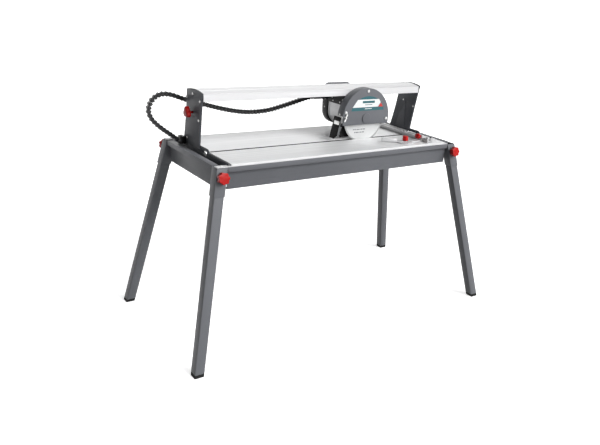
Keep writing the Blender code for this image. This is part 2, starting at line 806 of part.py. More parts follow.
def end_cover(hub, top):
    front = MOTOR_REAR_Y + FIT
    middle = (HEAD_X, (front + COVER_REAR_Y) / 2, HUB_Z)
    outline = u_outline(COVER_RADIUS, top)
    cover = as_mesh(plate("motor_end_cover", [outline], COVER_REAR_Y - front, ON_Y, middle, BLACK_PLASTIC))
    cover.data.materials.append(BLACK_PLASTIC)
    cavity = turned(
        "cover_cavity",
        rod(MOTOR_RADIUS - MOTOR_WALL, front - 0.01, COVER_REAR_Y - COVER_WALL - 0.004),
        SPIN_Y,
        hub,
        None,
        CUTTERS,
    )
    recess = box(
        "switch_recess",
        (HEAD_X - 0.012, COVER_REAR_Y - 0.006, HUB_Z - 0.003),
        (HEAD_X + 0.012, COVER_REAR_Y + 0.01, HUB_Z + 0.031),
        None,
        CUTTERS,
    )
    cut(cover, cavity)
    cut(cover, recess)
    box(
        "switch_rocker",
        (HEAD_X - 0.010, COVER_REAR_Y - 0.001, HUB_Z + 0.002),
        (HEAD_X + 0.010, COVER_REAR_Y + 0.004, HUB_Z + 0.026),
        RED_PLASTIC,
    )


def rotor_and_blade():
    hub = (HEAD_X, 0, HUB_Z)
    face = BLADE_Y + BLADE_THICKNESS / 2 + FIT
    stub = BLADE_BORE - FIT
    front = BLADE_Y - BLADE_THICKNESS / 2
    profile = [
        (0, 0.147),
        (SHAFT_RADIUS, 0.147),
        (SHAFT_RADIUS, 0.140),
        (0.044, 0.140),
        (0.044, 0.132),
        (SHAFT_RADIUS, 0.128),
        (SHAFT_RADIUS, 0.092),
        (0.0325, 0.092),
        (0.0325, 0.028),
        (SHAFT_RADIUS, 0.028),
        (SHAFT_RADIUS, -0.020),
        (0.009, -0.020),
        (0.009, face + 0.003),
        (FLANGE_RADIUS, face + 0.003),
        (FLANGE_RADIUS, face),
        (stub, face),
        (stub, front - 0.003),
        (SHAFT_RADIUS, front - 0.003),
        (SHAFT_RADIUS, front - 0.009),
        (0, front - 0.009),
    ]
    turned("rotor", profile, SPIN_Y, hub, STEEL)
    turned(
        "blade",
        ring(BLADE_BORE, BLADE_RADIUS, front, front + BLADE_THICKNESS),
        SPIN_Y,
        hub,
        BLADE_STEEL,
        segments=72,
    )
    nut_back = front - FIT
    nut = [
        (BLADE_BORE, nut_back),
        (FLANGE_RADIUS, nut_back),
        (FLANGE_RADIUS, front - 0.0035),
        (0.012, front - 0.0035),
        (0.012, front - 0.0095),
        (SHAFT_RADIUS + FIT, front - 0.0095),
        (SHAFT_RADIUS + FIT, front - 0.0033),
        (BLADE_BORE, front - 0.0033),
    ]
    turned("blade_nut", nut, SPIN_Y, hub, STEEL)


def guard_outline(radius, bottom):
    """A round guard with its lower part cut off level, about the hub."""
    dip = math.degrees(math.asin(bottom / radius))
    return arc((0, 0), radius, -dip, 180 + dip, 40)


def guard():
    back = GUARD_BACK_Y
    front = GUARD_FRONT_Y + 0.002 + FIT
    outline = guard_outline(GUARD_RADIUS, GUARD_BOTTOM)
    shell = as_mesh(
        plate("guard_shell", [outline], back - front, ON_Y, (HEAD_X, (back + front) / 2, HUB_Z), GREY_PAINT)
    )
    shell.data.materials.append(GREY_PAINT)
    depth = back - front - GUARD_WALL + 0.01
    inside = as_mesh(
        plate(
            "guard_inside",
            [guard_outline(GUARD_RADIUS - GUARD_WALL, GUARD_BOTTOM + 0.005)],
            depth,
            ON_Y,
            (HEAD_X, back - GUARD_WALL - depth / 2, HUB_Z),
            None,
            CUTTERS,
        )
    )
    hub = (HEAD_X, 0, HUB_Z)
    clearance = rod(0.014, back - 0.01, back + 0.01)
    hole = turned("guard_shaft_hole", clearance, SPIN_Y, hub, None, CUTTERS)
    cut(shell, inside)
    cut(shell, hole)
    cover_y = GUARD_FRONT_Y + 0.001
    cover = as_mesh(plate("guard_cover", [outline], 0.002, ON_Y, (HEAD_X, cover_y, HUB_Z), GREY_PAINT))
    cover.data.materials.append(GREY_PAINT)
    boss_front = GUARD_FRONT_Y - 0.004
    boss_profile = [(0, cover_y), (0.022, cover_y), (0.020, boss_front), (0, boss_front)]
    boss = turned("guard_boss", boss_profile, SPIN_Y, hub, None, CUTTERS, 24)
    join(cover, boss)


def flap():
    """A rubber sheet hung from a steel holder on the guard, in front of the blade."""
    back = -0.018
    front = GUARD_FRONT_Y
    low = -FLAP_LENGTH
    chamfer = BLADE_Y - front
    outline = [(back, 0), (front, 0), (front, low + chamfer + 0.002), (BLADE_Y + 0.002, low), (back, low)]
    hinge_x = FLAP_X + FLAP_THICKNESS / 2
    turn = Matrix.Rotation(FLAP_LEAN, 3, "Y")
    middle = Vector((hinge_x, 0, FLAP_TOP)) + turn @ Vector((-FLAP_THICKNESS / 2, 0, 0))
    leaning = (turn @ Euler(ON_X).to_matrix()).to_euler()
    plate("splash_flap", [outline], FLAP_THICKNESS, leaning, middle, RUBBER)
    holder_x = hinge_x + 0.0008
    low, high = (holder_x, GUARD_FRONT_Y + 0.002, 0.786), (holder_x + 0.004, -0.028, 0.813)
    box("flap_holder", low, high, STEEL)


def handle():
    left, right = HEAD_X - HANDLE_HALF, HEAD_X + HANDLE_HALF
    base = RAIL_BOTTOM - SADDLE_GAP + FIT
    corner = 0.012
    y, z = HANDLE_Y, HANDLE_Z
    path = [
        (left, y, base),
        *bend((left, y, z - corner), (left, y, z), (left + corner, y, z), 4),
        *bend((right - corner, y, z), (right, y, z), (right, y, z - corner), 4),
        (right, y, base),
    ]
    tube("handle", path, HANDLE_RADIUS, GREY_PAINT, 3)


# ---------------------------------------------------------------- fence and angle guide
def fence():
    low = TABLE_TOP + FIT
    half, groove = BAR_WIDTH / 2, GROOVE_WIDTH / 2
    top = low + BAR_HEIGHT
    outline = [
        (BAR_X - half, low),
        (BAR_X + half, low),
        (BAR_X + half, top),
        (BAR_X + groove, top),
        (BAR_X + groove, top - GROOVE_DEPTH),
        (BAR_X - groove, top - GROOVE_DEPTH),
        (BAR_X - groove, top),
        (BAR_X - half, top),
    ]
    middle = (0, (BAR_REAR_Y + BAR_FRONT_Y) / 2, 0)
    plate("fence_bar", [outline], BAR_REAR_Y - BAR_FRONT_Y, ON_Y, middle, ALUMINIUM)
    guide_block(low, top)
    guide_arm(low)


def guide_block(low, bar_top):
    """A protractor disc on the table, a foot reaching to the bar, and a hook over the bar into its groove."""
    left_face = BAR_X - BAR_WIDTH / 2 - FIT
    y0, y1 = BLOCK_Y - BLOCK_DEPTH / 2, BLOCK_Y + BLOCK_DEPTH / 2
    disc_top = low + DISC_THICKNESS
    pivot = (ARM_PIVOT_X, ARM_PIVOT_Y, 0)
    body = rod(DISC_RADIUS, low, disc_top)
    disc = turned("guide_block", body, SPIN_Z, pivot, ALUMINIUM, segments=48)
    hook_top = bar_top + FIT + HOOK_THICKNESS
    groove = GROOVE_WIDTH / 2 - FIT
    pieces = {
        "foot": ((ARM_PIVOT_X, y0, low), (left_face, y1, disc_top)),
        "wall": ((left_face - HOOK_THICKNESS, y0, low), (left_face, y1, BLOCK_KNOB_Z + 0.0065)),
        "hook": ((left_face - HOOK_THICKNESS, y0, bar_top + FIT), (BAR_X + groove, y1, hook_top)),
        "tongue": ((BAR_X - groove, y0, bar_top - GROOVE_DEPTH + 0.001), (BAR_X + groove, y1, hook_top)),
    }
    for name, (near, far) in pieces.items():
        join(disc, box(f"block_{name}", near, far, None, CUTTERS))
    side = (left_face - HOOK_THICKNESS - FIT, BLOCK_Y, BLOCK_KNOB_Z)
    knob("guide_block_knob", side, (-1, 0, 0), GUIDE_KNOB_RADIUS, 2, 0.34, 0.003, 0.013)
    arm_top = disc_top + FIT + ARM_FOOT
    seat = (ARM_PIVOT_X, ARM_PIVOT_Y, arm_top + FIT)
    knob("guide_arm_knob", seat, (0, 0, 1), 0.012, 6, 0.12, 0.002, 0.018)


def guide_arm(low):
    """A flat arm turning on the disc, with a straight raised fence along its outer part."""
    bottom = low + DISC_THICKNESS + FIT
    half = ARM_WIDTH / 2
    round_end = arc((0, 0), half, 90, 270, 8)[1:-1]
    outline = [(ARM_LENGTH, -half), (ARM_LENGTH, half), (0, half), *round_end, (0, -half)]
    turn = (0, 0, math.pi - ARM_ANGLE)
    pivot = (ARM_PIVOT_X, ARM_PIVOT_Y, bottom + ARM_FOOT / 2)
    arm = as_mesh(plate("guide_arm", [outline], ARM_FOOT, turn, pivot, ALUMINIUM))
    arm.data.materials.append(ALUMINIUM)
    start = (ARM_FENCE_START, -half, 0)
    fence_part = box("arm_fence", start, (ARM_LENGTH, half, ARM_HEIGHT), None, CUTTERS)
    middle = (ARM_FENCE_START + ARM_LENGTH) / 2
    fence_part.rotation_euler = turn
    fence_part.location = (
        ARM_PIVOT_X + middle * math.cos(turn[2]),
        ARM_PIVOT_Y + middle * math.sin(turn[2]),
        bottom + ARM_HEIGHT / 2,
    )
    join(arm, fence_part)


# ---------------------------------------------------------------- cable chain
def chain():
    """The chain and the clamp that holds its fixed end to the left upright."""
    x, y, z = CHAIN_ROUTE[0]
    box(
        "chain_clamp",
        (x + CLAMP_GAP, y - CLAMP_HALF, RIM_Z + FIT),
        (-UPRIGHT_X - UPRIGHT_THICKNESS - FIT, y + CLAMP_HALF, z + 0.014),
        BLACK_PLASTIC,
        bevel=0.002,
    )
    tube("cable_chain", smooth_route(CHAIN_ROUTE, 0.022), CHAIN_RADIUS, BLACK_PLASTIC)


def main():
    long_panels()
    end_panels()
    legs()
    table()
    tray()
    uprights()
    rail()
    saddle()
    rollers()
    motor()
    rotor_and_blade()
    guard()
    flap()
    handle()
    fence()
    chain()
    bpy.context.view_layer.update()
    for made in PARTS.objects:
        smooth(made)


main()
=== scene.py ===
"""Bridge tile saw: finishes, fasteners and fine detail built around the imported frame. Metres, +Z up."""
import json
import math

import bmesh
import bpy
from bpy.props import FloatProperty, FloatVectorProperty, PointerProperty
from mathutils import Matrix, Vector


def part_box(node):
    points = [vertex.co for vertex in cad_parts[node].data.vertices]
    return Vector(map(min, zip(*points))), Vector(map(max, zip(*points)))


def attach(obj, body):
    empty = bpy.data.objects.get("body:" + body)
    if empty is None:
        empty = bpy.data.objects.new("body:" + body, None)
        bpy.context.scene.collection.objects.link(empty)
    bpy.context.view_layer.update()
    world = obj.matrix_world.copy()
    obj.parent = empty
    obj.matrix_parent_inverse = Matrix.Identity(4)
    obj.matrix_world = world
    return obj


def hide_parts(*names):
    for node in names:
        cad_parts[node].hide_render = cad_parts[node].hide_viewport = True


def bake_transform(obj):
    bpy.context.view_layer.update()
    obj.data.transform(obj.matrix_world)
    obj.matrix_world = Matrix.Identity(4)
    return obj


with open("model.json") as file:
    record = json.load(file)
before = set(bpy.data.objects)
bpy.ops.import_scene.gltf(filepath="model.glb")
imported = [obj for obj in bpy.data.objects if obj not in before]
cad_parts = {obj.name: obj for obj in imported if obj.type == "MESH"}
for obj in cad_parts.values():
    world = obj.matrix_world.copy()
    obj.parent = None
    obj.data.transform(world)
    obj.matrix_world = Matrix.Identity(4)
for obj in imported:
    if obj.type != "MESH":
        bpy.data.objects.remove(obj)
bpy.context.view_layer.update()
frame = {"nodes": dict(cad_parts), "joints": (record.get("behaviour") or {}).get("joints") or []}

bl_info = {
    "name": "Bridge tile saw",
    "version": (1, 0, 0),
    "blender": (4, 5, 0),
    "location": "3D View > Sidebar > Tile saw",
    "description": "Builds the finishes and fine pieces of a bridge tile saw on its moving frame",
    "category": "Object",
}

NODES = frame["nodes"]
RAIL_LOW, RAIL_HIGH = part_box("rail")
GUARD_LOW, GUARD_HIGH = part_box("guard_shell")
BLADE_LOW, BLADE_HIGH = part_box("blade")
SADDLE_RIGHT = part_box("saddle")[1].x
MOTOR_LOW, MOTOR_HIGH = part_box("motor_housing")
BAR_LOW, BAR_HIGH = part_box("fence_bar")
HUB = (BLADE_LOW + BLADE_HIGH) / 2  # middle of the blade
BLADE_RADIUS = (BLADE_HIGH.x - BLADE_LOW.x) / 2


# ---------------------------------------------------------------- sizes and colours
def length(name, description, default):
    return FloatProperty(name=name, description=description, default=default, min=0.0, unit="LENGTH")


def colour(name, description, default):
    return FloatVectorProperty(
        name=name, description=description, default=default, size=3, min=0, max=1, subtype="COLOR"
    )


class SawColours(bpy.types.PropertyGroup):
    """The finishes' main colours."""

    grey_paint: colour("Grey paint", "Powder coat of the frame, legs and guard", (0.135, 0.14, 0.153))
    dark_paint: colour("Dark paint", "Powder coat of the uprights", (0.066, 0.07, 0.08))
    table: colour("Table", "Milled aluminium of the table", (0.75, 0.755, 0.76))
    rail: colour("Rail", "Anodised aluminium of the bridge", (0.74, 0.74, 0.75))
    blade: colour("Blade", "Steel core of the blade", (0.60, 0.61, 0.61))
    red: colour("Red plastic", "Knobs", (0.46, 0.0045, 0.003))
    black: colour("Black plastic", "Saddle, covers and tray", (0.008, 0.008, 0.009))
    rubber: colour("Rubber", "Flap and feet", (0.010, 0.010, 0.010))
    teal: colour("Teal print", "Dark fields of the label", (0.006, 0.105, 0.125))
    floor: colour("Floor", "Pale floor", (0.93, 0.93, 0.93))


class StageSizes(bpy.types.PropertyGroup):
    """Camera and lamps."""

    key_strength: FloatProperty(name="Key", description="Strength of the main lamp", default=3.3, min=0)
    sky_strength: FloatProperty(name="Sky", description="Strength of the surroundings", default=0.17, min=0)
    lens: FloatProperty(name="Lens", description="Focal length", default=38.88, unit="CAMERA")
    floor_radius: length("Floor radius", "How far the floor runs", 14.0)


class RailSizes(bpy.types.PropertyGroup):
    """The extruded bridge."""

    crown: length("Crown", "How far the top bulges above its edges", 0.007)
    groove_width: length("Groove width", "Width of each groove along the top", 0.0022)
    groove_depth: length("Groove depth", "Depth of each groove along the top", 0.0011)
    wall: length("Wall", "Thickness of the extrusion", 0.0035)


class BladeSizes(bpy.types.PropertyGroup):
    """The diamond blade."""

    rim: length("Rim", "Width of the diamond rim", 0.007)
    core: length("Core", "Thickness of the steel core", 0.0014)


class ChainSizes(bpy.types.PropertyGroup):
    """The cable chain."""

    width: length("Width", "Across the chain", 0.0230)
    depth: length("Depth", "From its inner to its outer side", 0.0175)
    pitch: length("Pitch", "From link to link", 0.0150)


class ScrewSizes(bpy.types.PropertyGroup):
    """Pan-head screws."""

    head: length("Head radius", "Radius of a common screw head", 0.0042)
    height: length("Head height", "Height of a common screw head", 0.0022)


GROUPS = {
    "saw_colours": SawColours,
    "saw_stage": StageSizes,
    "saw_rail": RailSizes,
    "saw_blade": BladeSizes,
    "saw_chain": ChainSizes,
    "saw_screws": ScrewSizes,
}


def settings(name):
    return getattr(bpy.context.scene, name)


# ---------------------------------------------------------------- finishes
class Wire:
    """One socket of a finish. Sums on wires add their own Math nodes."""

    def __init__(self, finish, socket):
        self.finish = finish
        self.socket = socket

    def maths(self, operation, first, second):
        return self.finish.node("ShaderNodeMath", {"operation": operation}, {0: first, 1: second})

    def __add__(self, other):
        return self.maths("ADD", self, other)

    __radd__ = __add__

    def __mul__(self, other):
        return self.maths("MULTIPLY", self, other)

    __rmul__ = __mul__

    def __sub__(self, other):
        return self.maths("SUBTRACT", self, other)

    def __rsub__(self, other):
        return self.maths("SUBTRACT", other, self)

    def __pow__(self, other):
        return self.maths("POWER", self, other)

    def above(self, other):
        return self.maths("GREATER_THAN", self, other)


class Finish:
    """A material with a Principled shader whose varying sockets are fed by nodes."""

    def __init__(self, name, metallic=0.0, **constants):
        self.material = bpy.data.materials.new(name)
        self.material.use_nodes = True
        self.tree = self.material.node_tree
        self.shader = self.tree.nodes["Principled BSDF"]
        self.shader.inputs["Metallic"].default_value = metallic
        for socket, value in constants.items():
            self.shader.inputs[socket.replace("_", " ")].default_value = value
        self.place = self.node("ShaderNodeTexCoord", output="Object")

    def node(self, kind, choices=None, sockets=None, output=0):
        made = self.tree.nodes.new(kind)
        for name, value in (choices or {}).items():
            setattr(made, name, value)
        for name, value in (sockets or {}).items():
            if isinstance(value, Wire):
                self.tree.links.new(value.socket, made.inputs[name])
            else:
                made.inputs[name].default_value = value
        return Wire(self, made.outputs[output])

    def stretched(self, by):
        return self.node("ShaderNodeVectorMath", {"operation": "MULTIPLY"}, {0: self.place, 1: by})

    def noise(self, scale, detail=2.0, by=(1, 1, 1), rough=0.5):
        sockets = {"Vector": self.stretched(by), "Scale": scale, "Detail": detail, "Roughness": rough}
        return self.node("ShaderNodeTexNoise", {}, sockets)

    def contrast(self, wire, low, high):
        sockets = {"Value": wire, "From Min": low, "From Max": high}
        return self.node("ShaderNodeMapRange", {"clamp": True}, sockets)

    def axis(self, index):
        return self.node("ShaderNodeSeparateXYZ", {}, {0: self.place}, index)

    def mix(self, factor, dark, light):
        sockets = {0: factor, 6: as_colour(dark), 7: as_colour(light)}
        return self.node("ShaderNodeMix", {"data_type": "RGBA"}, sockets, 2)

    def feed(self, socket, wire):
        self.tree.links.new(wire.socket, self.shader.inputs[socket])

    def relief(self, height, distance, strength=1.0):
        sockets = {"Height": height, "Distance": distance, "Strength": strength}
        self.feed("Normal", self.node("ShaderNodeBump", {}, sockets))


def as_colour(value):
    return value if isinstance(value, Wire) else (*value, 1)


def shade(value, by):
    return tuple(min(1.0, c * by) for c in value)


def powder_coat(name, tone, rough=0.42):
    """Fine orange-peel paint with faint clouding, dust and scuffs."""
    made = Finish(name, Specular_IOR_Level=0.22)
    peel = made.noise(900, 3)
    cloud = made.contrast(made.noise(5, 3), 0.3, 0.7)
    dust = made.contrast(made.noise(2600, 1), 0.66, 0.76)
    scuff = made.contrast(made.noise(60, 5, (1, 1, 0.25), 0.7), 0.68, 0.78)
    base = made.mix(cloud, shade(tone, 0.93), shade(tone, 1.07))
    base = made.mix(dust * 0.35, base, shade(tone, 1.7))
    made.feed("Base Color", made.mix(scuff * 0.25, base, shade(tone, 1.5)))
    made.feed("Roughness", rough - 0.05 + cloud * 0.1 + scuff * 0.1)
    made.relief(peel, 0.00012, 0.35)
    return made.material


def brushed(name, tone, along, metallic, rough, depth=0.00004, lines=1500):
    """Metal with fine lines along one direction."""
    made = Finish(name, metallic)
    coarse = [0.25 if i == along else 14 for i in range(3)]
    fine = [2.0 / lines if i == along else 1 for i in range(3)]
    band = made.contrast(made.noise(6, 3, coarse), 0.25, 0.75)
    line = made.noise(lines, 2, fine, 0.6)
    stain = made.contrast(made.noise(9, 5, (1, 1, 1), 0.65), 0.55, 0.75)
    base = made.mix(band, shade(tone, 0.9), shade(tone, 1.06))
    base = made.mix(made.contrast(line, 0.35, 0.75) * 0.3, base, shade(tone, 0.72))
    made.feed("Base Color", made.mix(stain * 0.12, base, shade(tone, 0.78)))
    made.feed("Roughness", rough + band * 0.06 + line * 0.12 + stain * 0.05)
    made.relief(line, depth, 0.4)
    return made.material


def moulded(name, tone, rough, grain=700, depth=0.00015, gloss=0.2):
    """Spark-eroded plastic."""
    made = Finish(name, Specular_IOR_Level=gloss)
    grit = made.noise(grain, 3)
    cloud = made.contrast(made.noise(18, 3), 0.35, 0.65)
    rub = made.contrast(made.noise(150, 4, (1, 1, 1), 0.7), 0.62, 0.8)
    base = made.mix(cloud, shade(tone, 0.86), shade(tone, 1.12))
    made.feed("Base Color", made.mix(rub * 0.3, base, shade(tone, 1.6)))
    made.feed("Roughness", rough - 0.06 + grit * 0.08 + rub * 0.08)
    made.relief(grit, depth, 0.4)
    return made.material


def rubber(name, tone):
    made = Finish(name, Specular_IOR_Level=0.15)
    grit = made.noise(450, 4)
    chalk = made.contrast(made.noise(35, 5, (1, 1, 0.3), 0.7), 0.5, 0.85)
    made.feed("Base Color", made.mix(chalk * 0.35, tone, shade(tone, 3.5)))
    made.feed("Roughness", 0.62 + chalk * 0.2)
    made.relief(grit, 0.0002, 0.5)
    return made.material


def bright_steel(name, tone=(0.82, 0.82, 0.81), metallic=0.5, rough=0.22):
    """Plated steel with fine turning marks and water spots."""
    made = Finish(name, metallic)
    mark = made.noise(1800, 2)
    spot = made.contrast(made.noise(240, 3), 0.6, 0.7)
    made.feed("Base Color", made.mix(spot * 0.3, tone, shade(tone, 0.75)))
    made.feed("Roughness", rough + spot * 0.15 + mark * 0.06)
    made.relief(mark, 0.00003, 0.3)
    return made.material


def blade_steel(name, tone):
    """Ground steel with rings about the bore and a gritty diamond rim."""
    made = Finish(name, 0.35)
    across, up = made.axis(0) - HUB.x, made.axis(2) - HUB.z
    radius = (across * across + up * up) ** 0.5
    rim = radius.above(BLADE_RADIUS - settings("saw_blade").rim)
    rings = made.node("ShaderNodeTexNoise", {"noise_dimensions": "1D"}, {"W": radius * 2400, "Scale": 1.0})
    grit = made.noise(1500, 2)
    cloud = made.contrast(made.noise(22, 4), 0.3, 0.7)
    core = made.mix(cloud, shade(tone, 0.95), shade(tone, 1.08))
    core = made.mix(rings * 0.2, core, shade(tone, 0.8))
    diamond = made.mix(made.contrast(grit, 0.4, 0.65), shade(tone, 0.55), shade(tone, 0.95))
    made.feed("Base Color", made.mix(rim, core, diamond))
    made.feed("Roughness", 0.3 + rings * 0.1 + rim * 0.3)
    made.relief(rings * (1 - rim) * 0.3 + grit * rim, 0.0001, 0.5)
    return made.material


def printed(name, tone):
    """Ink on foil, very slightly uneven."""
    made = Finish(name, Coat_Weight=0.3, Coat_Roughness=0.2)
    ink = made.contrast(made.noise(900, 2), 0.35, 0.7)
    cloud = made.noise(30, 3)
    made.feed("Base Color", made.mix(ink, shade(tone, 0.93), tone))
    made.feed("Roughness", 0.3 + cloud * 0.12)
    made.relief(ink, 0.00002, 0.3)
    return made.material


def windings(name):
    made = Finish(name, 0.9)
    choices = {"wave_type": "BANDS", "bands_direction": "Y"}
    turns = made.node("ShaderNodeTexWave", choices, {"Vector": made.place, "Scale": 180})
    made.feed("Base Color", made.mix(turns, (0.25, 0.09, 0.03), (0.72, 0.34, 0.14)))
    made.feed("Roughness", 0.3 + turns * 0.15)
    made.relief(turns, 0.0004, 0.6)
    return made.material


def floor_finish(name, tone):
    made = Finish(name, Specular_IOR_Level=0.05, Emission_Color=(1, 1, 1, 1), Emission_Strength=0.62)
    cloud = made.noise(0.8, 3)
    grain = made.noise(160, 2)
    made.feed("Base Color", made.mix(cloud, shade(tone, 0.995), shade(tone, 1.005)))
    made.feed("Roughness", 0.85 + cloud * 0.1)
    made.relief(grain, 0.0001, 0.05)
    return made.material


FINISHES = {}


def make_finishes():
    tones = settings("saw_colours")
    red, black = tuple(tones.red), tuple(tones.black)
    FINISHES.update(
        grey_paint=powder_coat("grey_powder_coat", tuple(tones.grey_paint)),
        dark_paint=powder_coat("dark_powder_coat", tuple(tones.dark_paint), 0.46),
        table=brushed("table_aluminium", tuple(tones.table), 0, 0.25, 0.34, 0.00006, 900),
        rail=brushed("rail_aluminium", tuple(tones.rail), 0, 0.2, 0.3),
        bar=brushed("bar_aluminium", shade(tuple(tones.rail), 0.92), 1, 0.3, 0.32),
        fence=brushed("fence_aluminium", shade(tuple(tones.rail), 0.6), 1, 0.3, 0.34),
        cast=brushed("cast_aluminium", shade(tuple(tones.rail), 0.85), 1, 0.35, 0.38, 0.0001, 400),
        blade=blade_steel("blade_steel", tuple(tones.blade)),
        steel=bright_steel("plated_steel"),
        holder=bright_steel("holder_steel", (0.5, 0.5, 0.5), 0.45, 0.3),
        red=moulded("red_plastic", red, 0.36, 800, 0.0001, 0.22),
        black=moulded("black_plastic", black, 0.42, gloss=0.14),
        chain=moulded("chain_plastic", shade(black, 1.9), 0.28, 500, 0.0001, 0.5),
        tray=moulded("tray_plastic", shade(black, 1.2), 0.5, 300, 0.0003, 0.1),
        rubber=rubber("black_rubber", tuple(tones.rubber)),
        edge=moulded("flap_edge", (0.11, 0.115, 0.12), 0.5),
        teal=printed("teal_print", tuple(tones.teal)),
        white=printed("white_print", (0.8, 0.82, 0.82)),
        red_print=printed("red_print", (0.55, 0.02, 0.015)),
        smudge=printed("worn_print", (0.17, 0.18, 0.19)),
        windings=windings("copper_windings"),
        floor=floor_finish("pale_floor", tuple(tones.floor)),
    )


# ---------------------------------------------------------------- shapes
SHARP = math.radians(35)  # edges that turn more than this stay sharp and take a bevel
CORD_STEP = 0.008  # between the points of a path along the chain's route


def finished(thing, finish):
    thing.data.materials.clear()
    thing.data.materials.append(FINISHES[finish])
    return thing


def round_off(thing, width):
    edges = thing.modifiers.new("rounded_edges", "BEVEL")
    edges.width = width
    edges.segments = 2
    edges.limit_method = "ANGLE"
    edges.angle_limit = SHARP
    return thing


def smoothing_group():
    """Shades a mesh smooth, apart from edges sharper than a limit."""
    group = bpy.data.node_groups.get("smooth_below_35") or bpy.data.node_groups.new(
        "smooth_below_35", "GeometryNodeTree"
    )
    if group.nodes:
        return group
    group.interface.new_socket("Geometry", in_out="INPUT", socket_type="NodeSocketGeometry")
    group.interface.new_socket("Geometry", in_out="OUTPUT", socket_type="NodeSocketGeometry")
    start = group.nodes.new("NodeGroupInput")
    end = group.nodes.new("NodeGroupOutput")
    angle = group.nodes.new("GeometryNodeInputMeshEdgeAngle")
    limit = group.nodes.new("FunctionNodeCompare")
    limit.data_type = "FLOAT"
    limit.operation = "GREATER_THAN"
    limit.inputs[1].default_value = SHARP
    forget = group.nodes.new("GeometryNodeRemoveAttribute")
    forget.inputs["Name"].default_value = "custom_normal"
    faces = group.nodes.new("GeometryNodeSetShadeSmooth")
    faces.domain = "FACE"
    edges = group.nodes.new("GeometryNodeSetShadeSmooth")
    edges.domain = "EDGE"
    edges.inputs["Shade Smooth"].default_value = False
    link = group.links.new
    link(start.outputs[0], forget.inputs["Geometry"])
    link(forget.outputs[0], faces.inputs["Geometry"])
    link(faces.outputs[0], edges.inputs["Geometry"])
    link(angle.outputs[0], limit.inputs[0])
    link(limit.outputs[0], edges.inputs["Selection"])
    link(edges.outputs[0], end.inputs[0])
    return group


def soften(node, width=0.0):
    """Welds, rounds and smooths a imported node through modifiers."""
    thing = NODES[node]
    weld = thing.modifiers.new("welded", "WELD")
    weld.merge_threshold = 0.00002
    if width:
        round_off(thing, width)
    smooth = thing.modifiers.new("smooth", "NODES")
    smooth.node_group = smoothing_group()
    return thing


def coat(finish, *nodes, width=0.0):
    for node in nodes:
        finished(soften(node, width), finish)


def piece(name, shape, finish, body, bevel=0.0):
    """An object from a bmesh, facing out, in the frame's own coordinates, riding on a body."""
    bmesh.ops.remove_doubles(shape, verts=shape.verts, dist=0.000005)
    bmesh.ops.recalc_face_normals(shape, faces=shape.faces)
    mesh = bpy.data.meshes.new(name)
    shape.to_mesh(mesh)
    shape.free()
    for face in mesh.polygons:
        face.use_smooth = True
    mesh.set_sharp_from_angle(angle=SHARP)
    thing = bpy.data.objects.new(name, mesh)
    bpy.context.scene.collection.objects.link(thing)
    finished(thing, finish)
    if bevel:
        round_off(thing, bevel)
    if body:
        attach(thing, body)
    return thing


def block(name, low, high, finish, body, bevel=0.0006):
    shape = bmesh.new()
    low, high = Vector(low), Vector(high)
    bmesh.ops.create_cube(shape, size=1)
    bmesh.ops.scale(shape, vec=high - low, verts=shape.verts)
    bmesh.ops.translate(shape, vec=(low + high) / 2, verts=shape.verts)
    return piece(name, shape, finish, body, bevel)


def prism(name, outlines, low, high, axis, finish, body, bevel=0.0):
    """An outline with holes, pushed from low to high along x, y or z; its points are the other two."""
    curve = bpy.data.curves.new(name, "CURVE")
    curve.dimensions = "2D"
    curve.fill_mode = "BOTH"
    curve.extrude = (high - low) / 2
    for outline in outlines:
        spline = curve.splines.new("POLY")
        spline.points.add(len(outline) - 1)
        for point, (u, v) in zip(spline.points, outline):
            point.co = (u, v, 0, 1)
        spline.use_cyclic_u = True
    pattern = bpy.data.objects.new(name, curve)
    bpy.context.scene.collection.objects.link(pattern)
    bpy.context.view_layer.update()
    graph = bpy.context.evaluated_depsgraph_get()
    flat = bpy.data.meshes.new_from_object(pattern.evaluated_get(graph))
    bpy.data.objects.remove(pattern)
    shape = bmesh.new()
    shape.from_mesh(flat)
    middle = (low + high) / 2
    for vert in shape.verts:
        u, v, w = vert.co
        w += middle
        vert.co = {"x": (w, u, v), "y": (u, w, v), "z": (u, v, w)}[axis]
    return piece(name, shape, finish, body, bevel)


def spun(shape, profile, at, axis, segments=24, lobes=None):
    """Adds a turned solid: (radius, height) points spun about an axis through at."""
    turn = Vector((0, 0, 1)).rotation_difference(Vector(axis)).to_matrix()
    rings = []
    for index, (radius, height) in enumerate(profile):
        if radius == 0:
            rings.append([shape.verts.new(Vector(at) + turn @ Vector((0, 0, height)))])
            continue
        ring = []
        for step in range(segments):
            angle = 2 * math.pi * step / segments
            reach = radius * (lobes(index, angle) if lobes else 1)
            spot = Vector((reach * math.cos(angle), reach * math.sin(angle), height))
            ring.append(shape.verts.new(Vector(at) + turn @ spot))
        rings.append(ring)
    pairs = list(zip(rings, rings[1:]))
    if profile[0][0] > 0:
        pairs.append((rings[-1], rings[0]))
    for near, far in pairs:
        for step in range(segments):
            after = (step + 1) % segments
            corners = [near[step % len(near)], near[after % len(near)]]
            corners += [far[after % len(far)], far[step % len(far)]]
            corners = list(dict.fromkeys(corners))
            if len(corners) > 2:
                shape.faces.new(corners)


def turned(name, profile, at, axis, finish, body, segments=32, lobes=None, bevel=0.0):
    shape = bmesh.new()
    spun(shape, profile, at, axis, segments, lobes)
    return piece(name, shape, finish, body, bevel)


def cross_slot(index, angle):
    return 1 + 0.5 * math.cos(4 * angle) if index in (1, 2) else 1


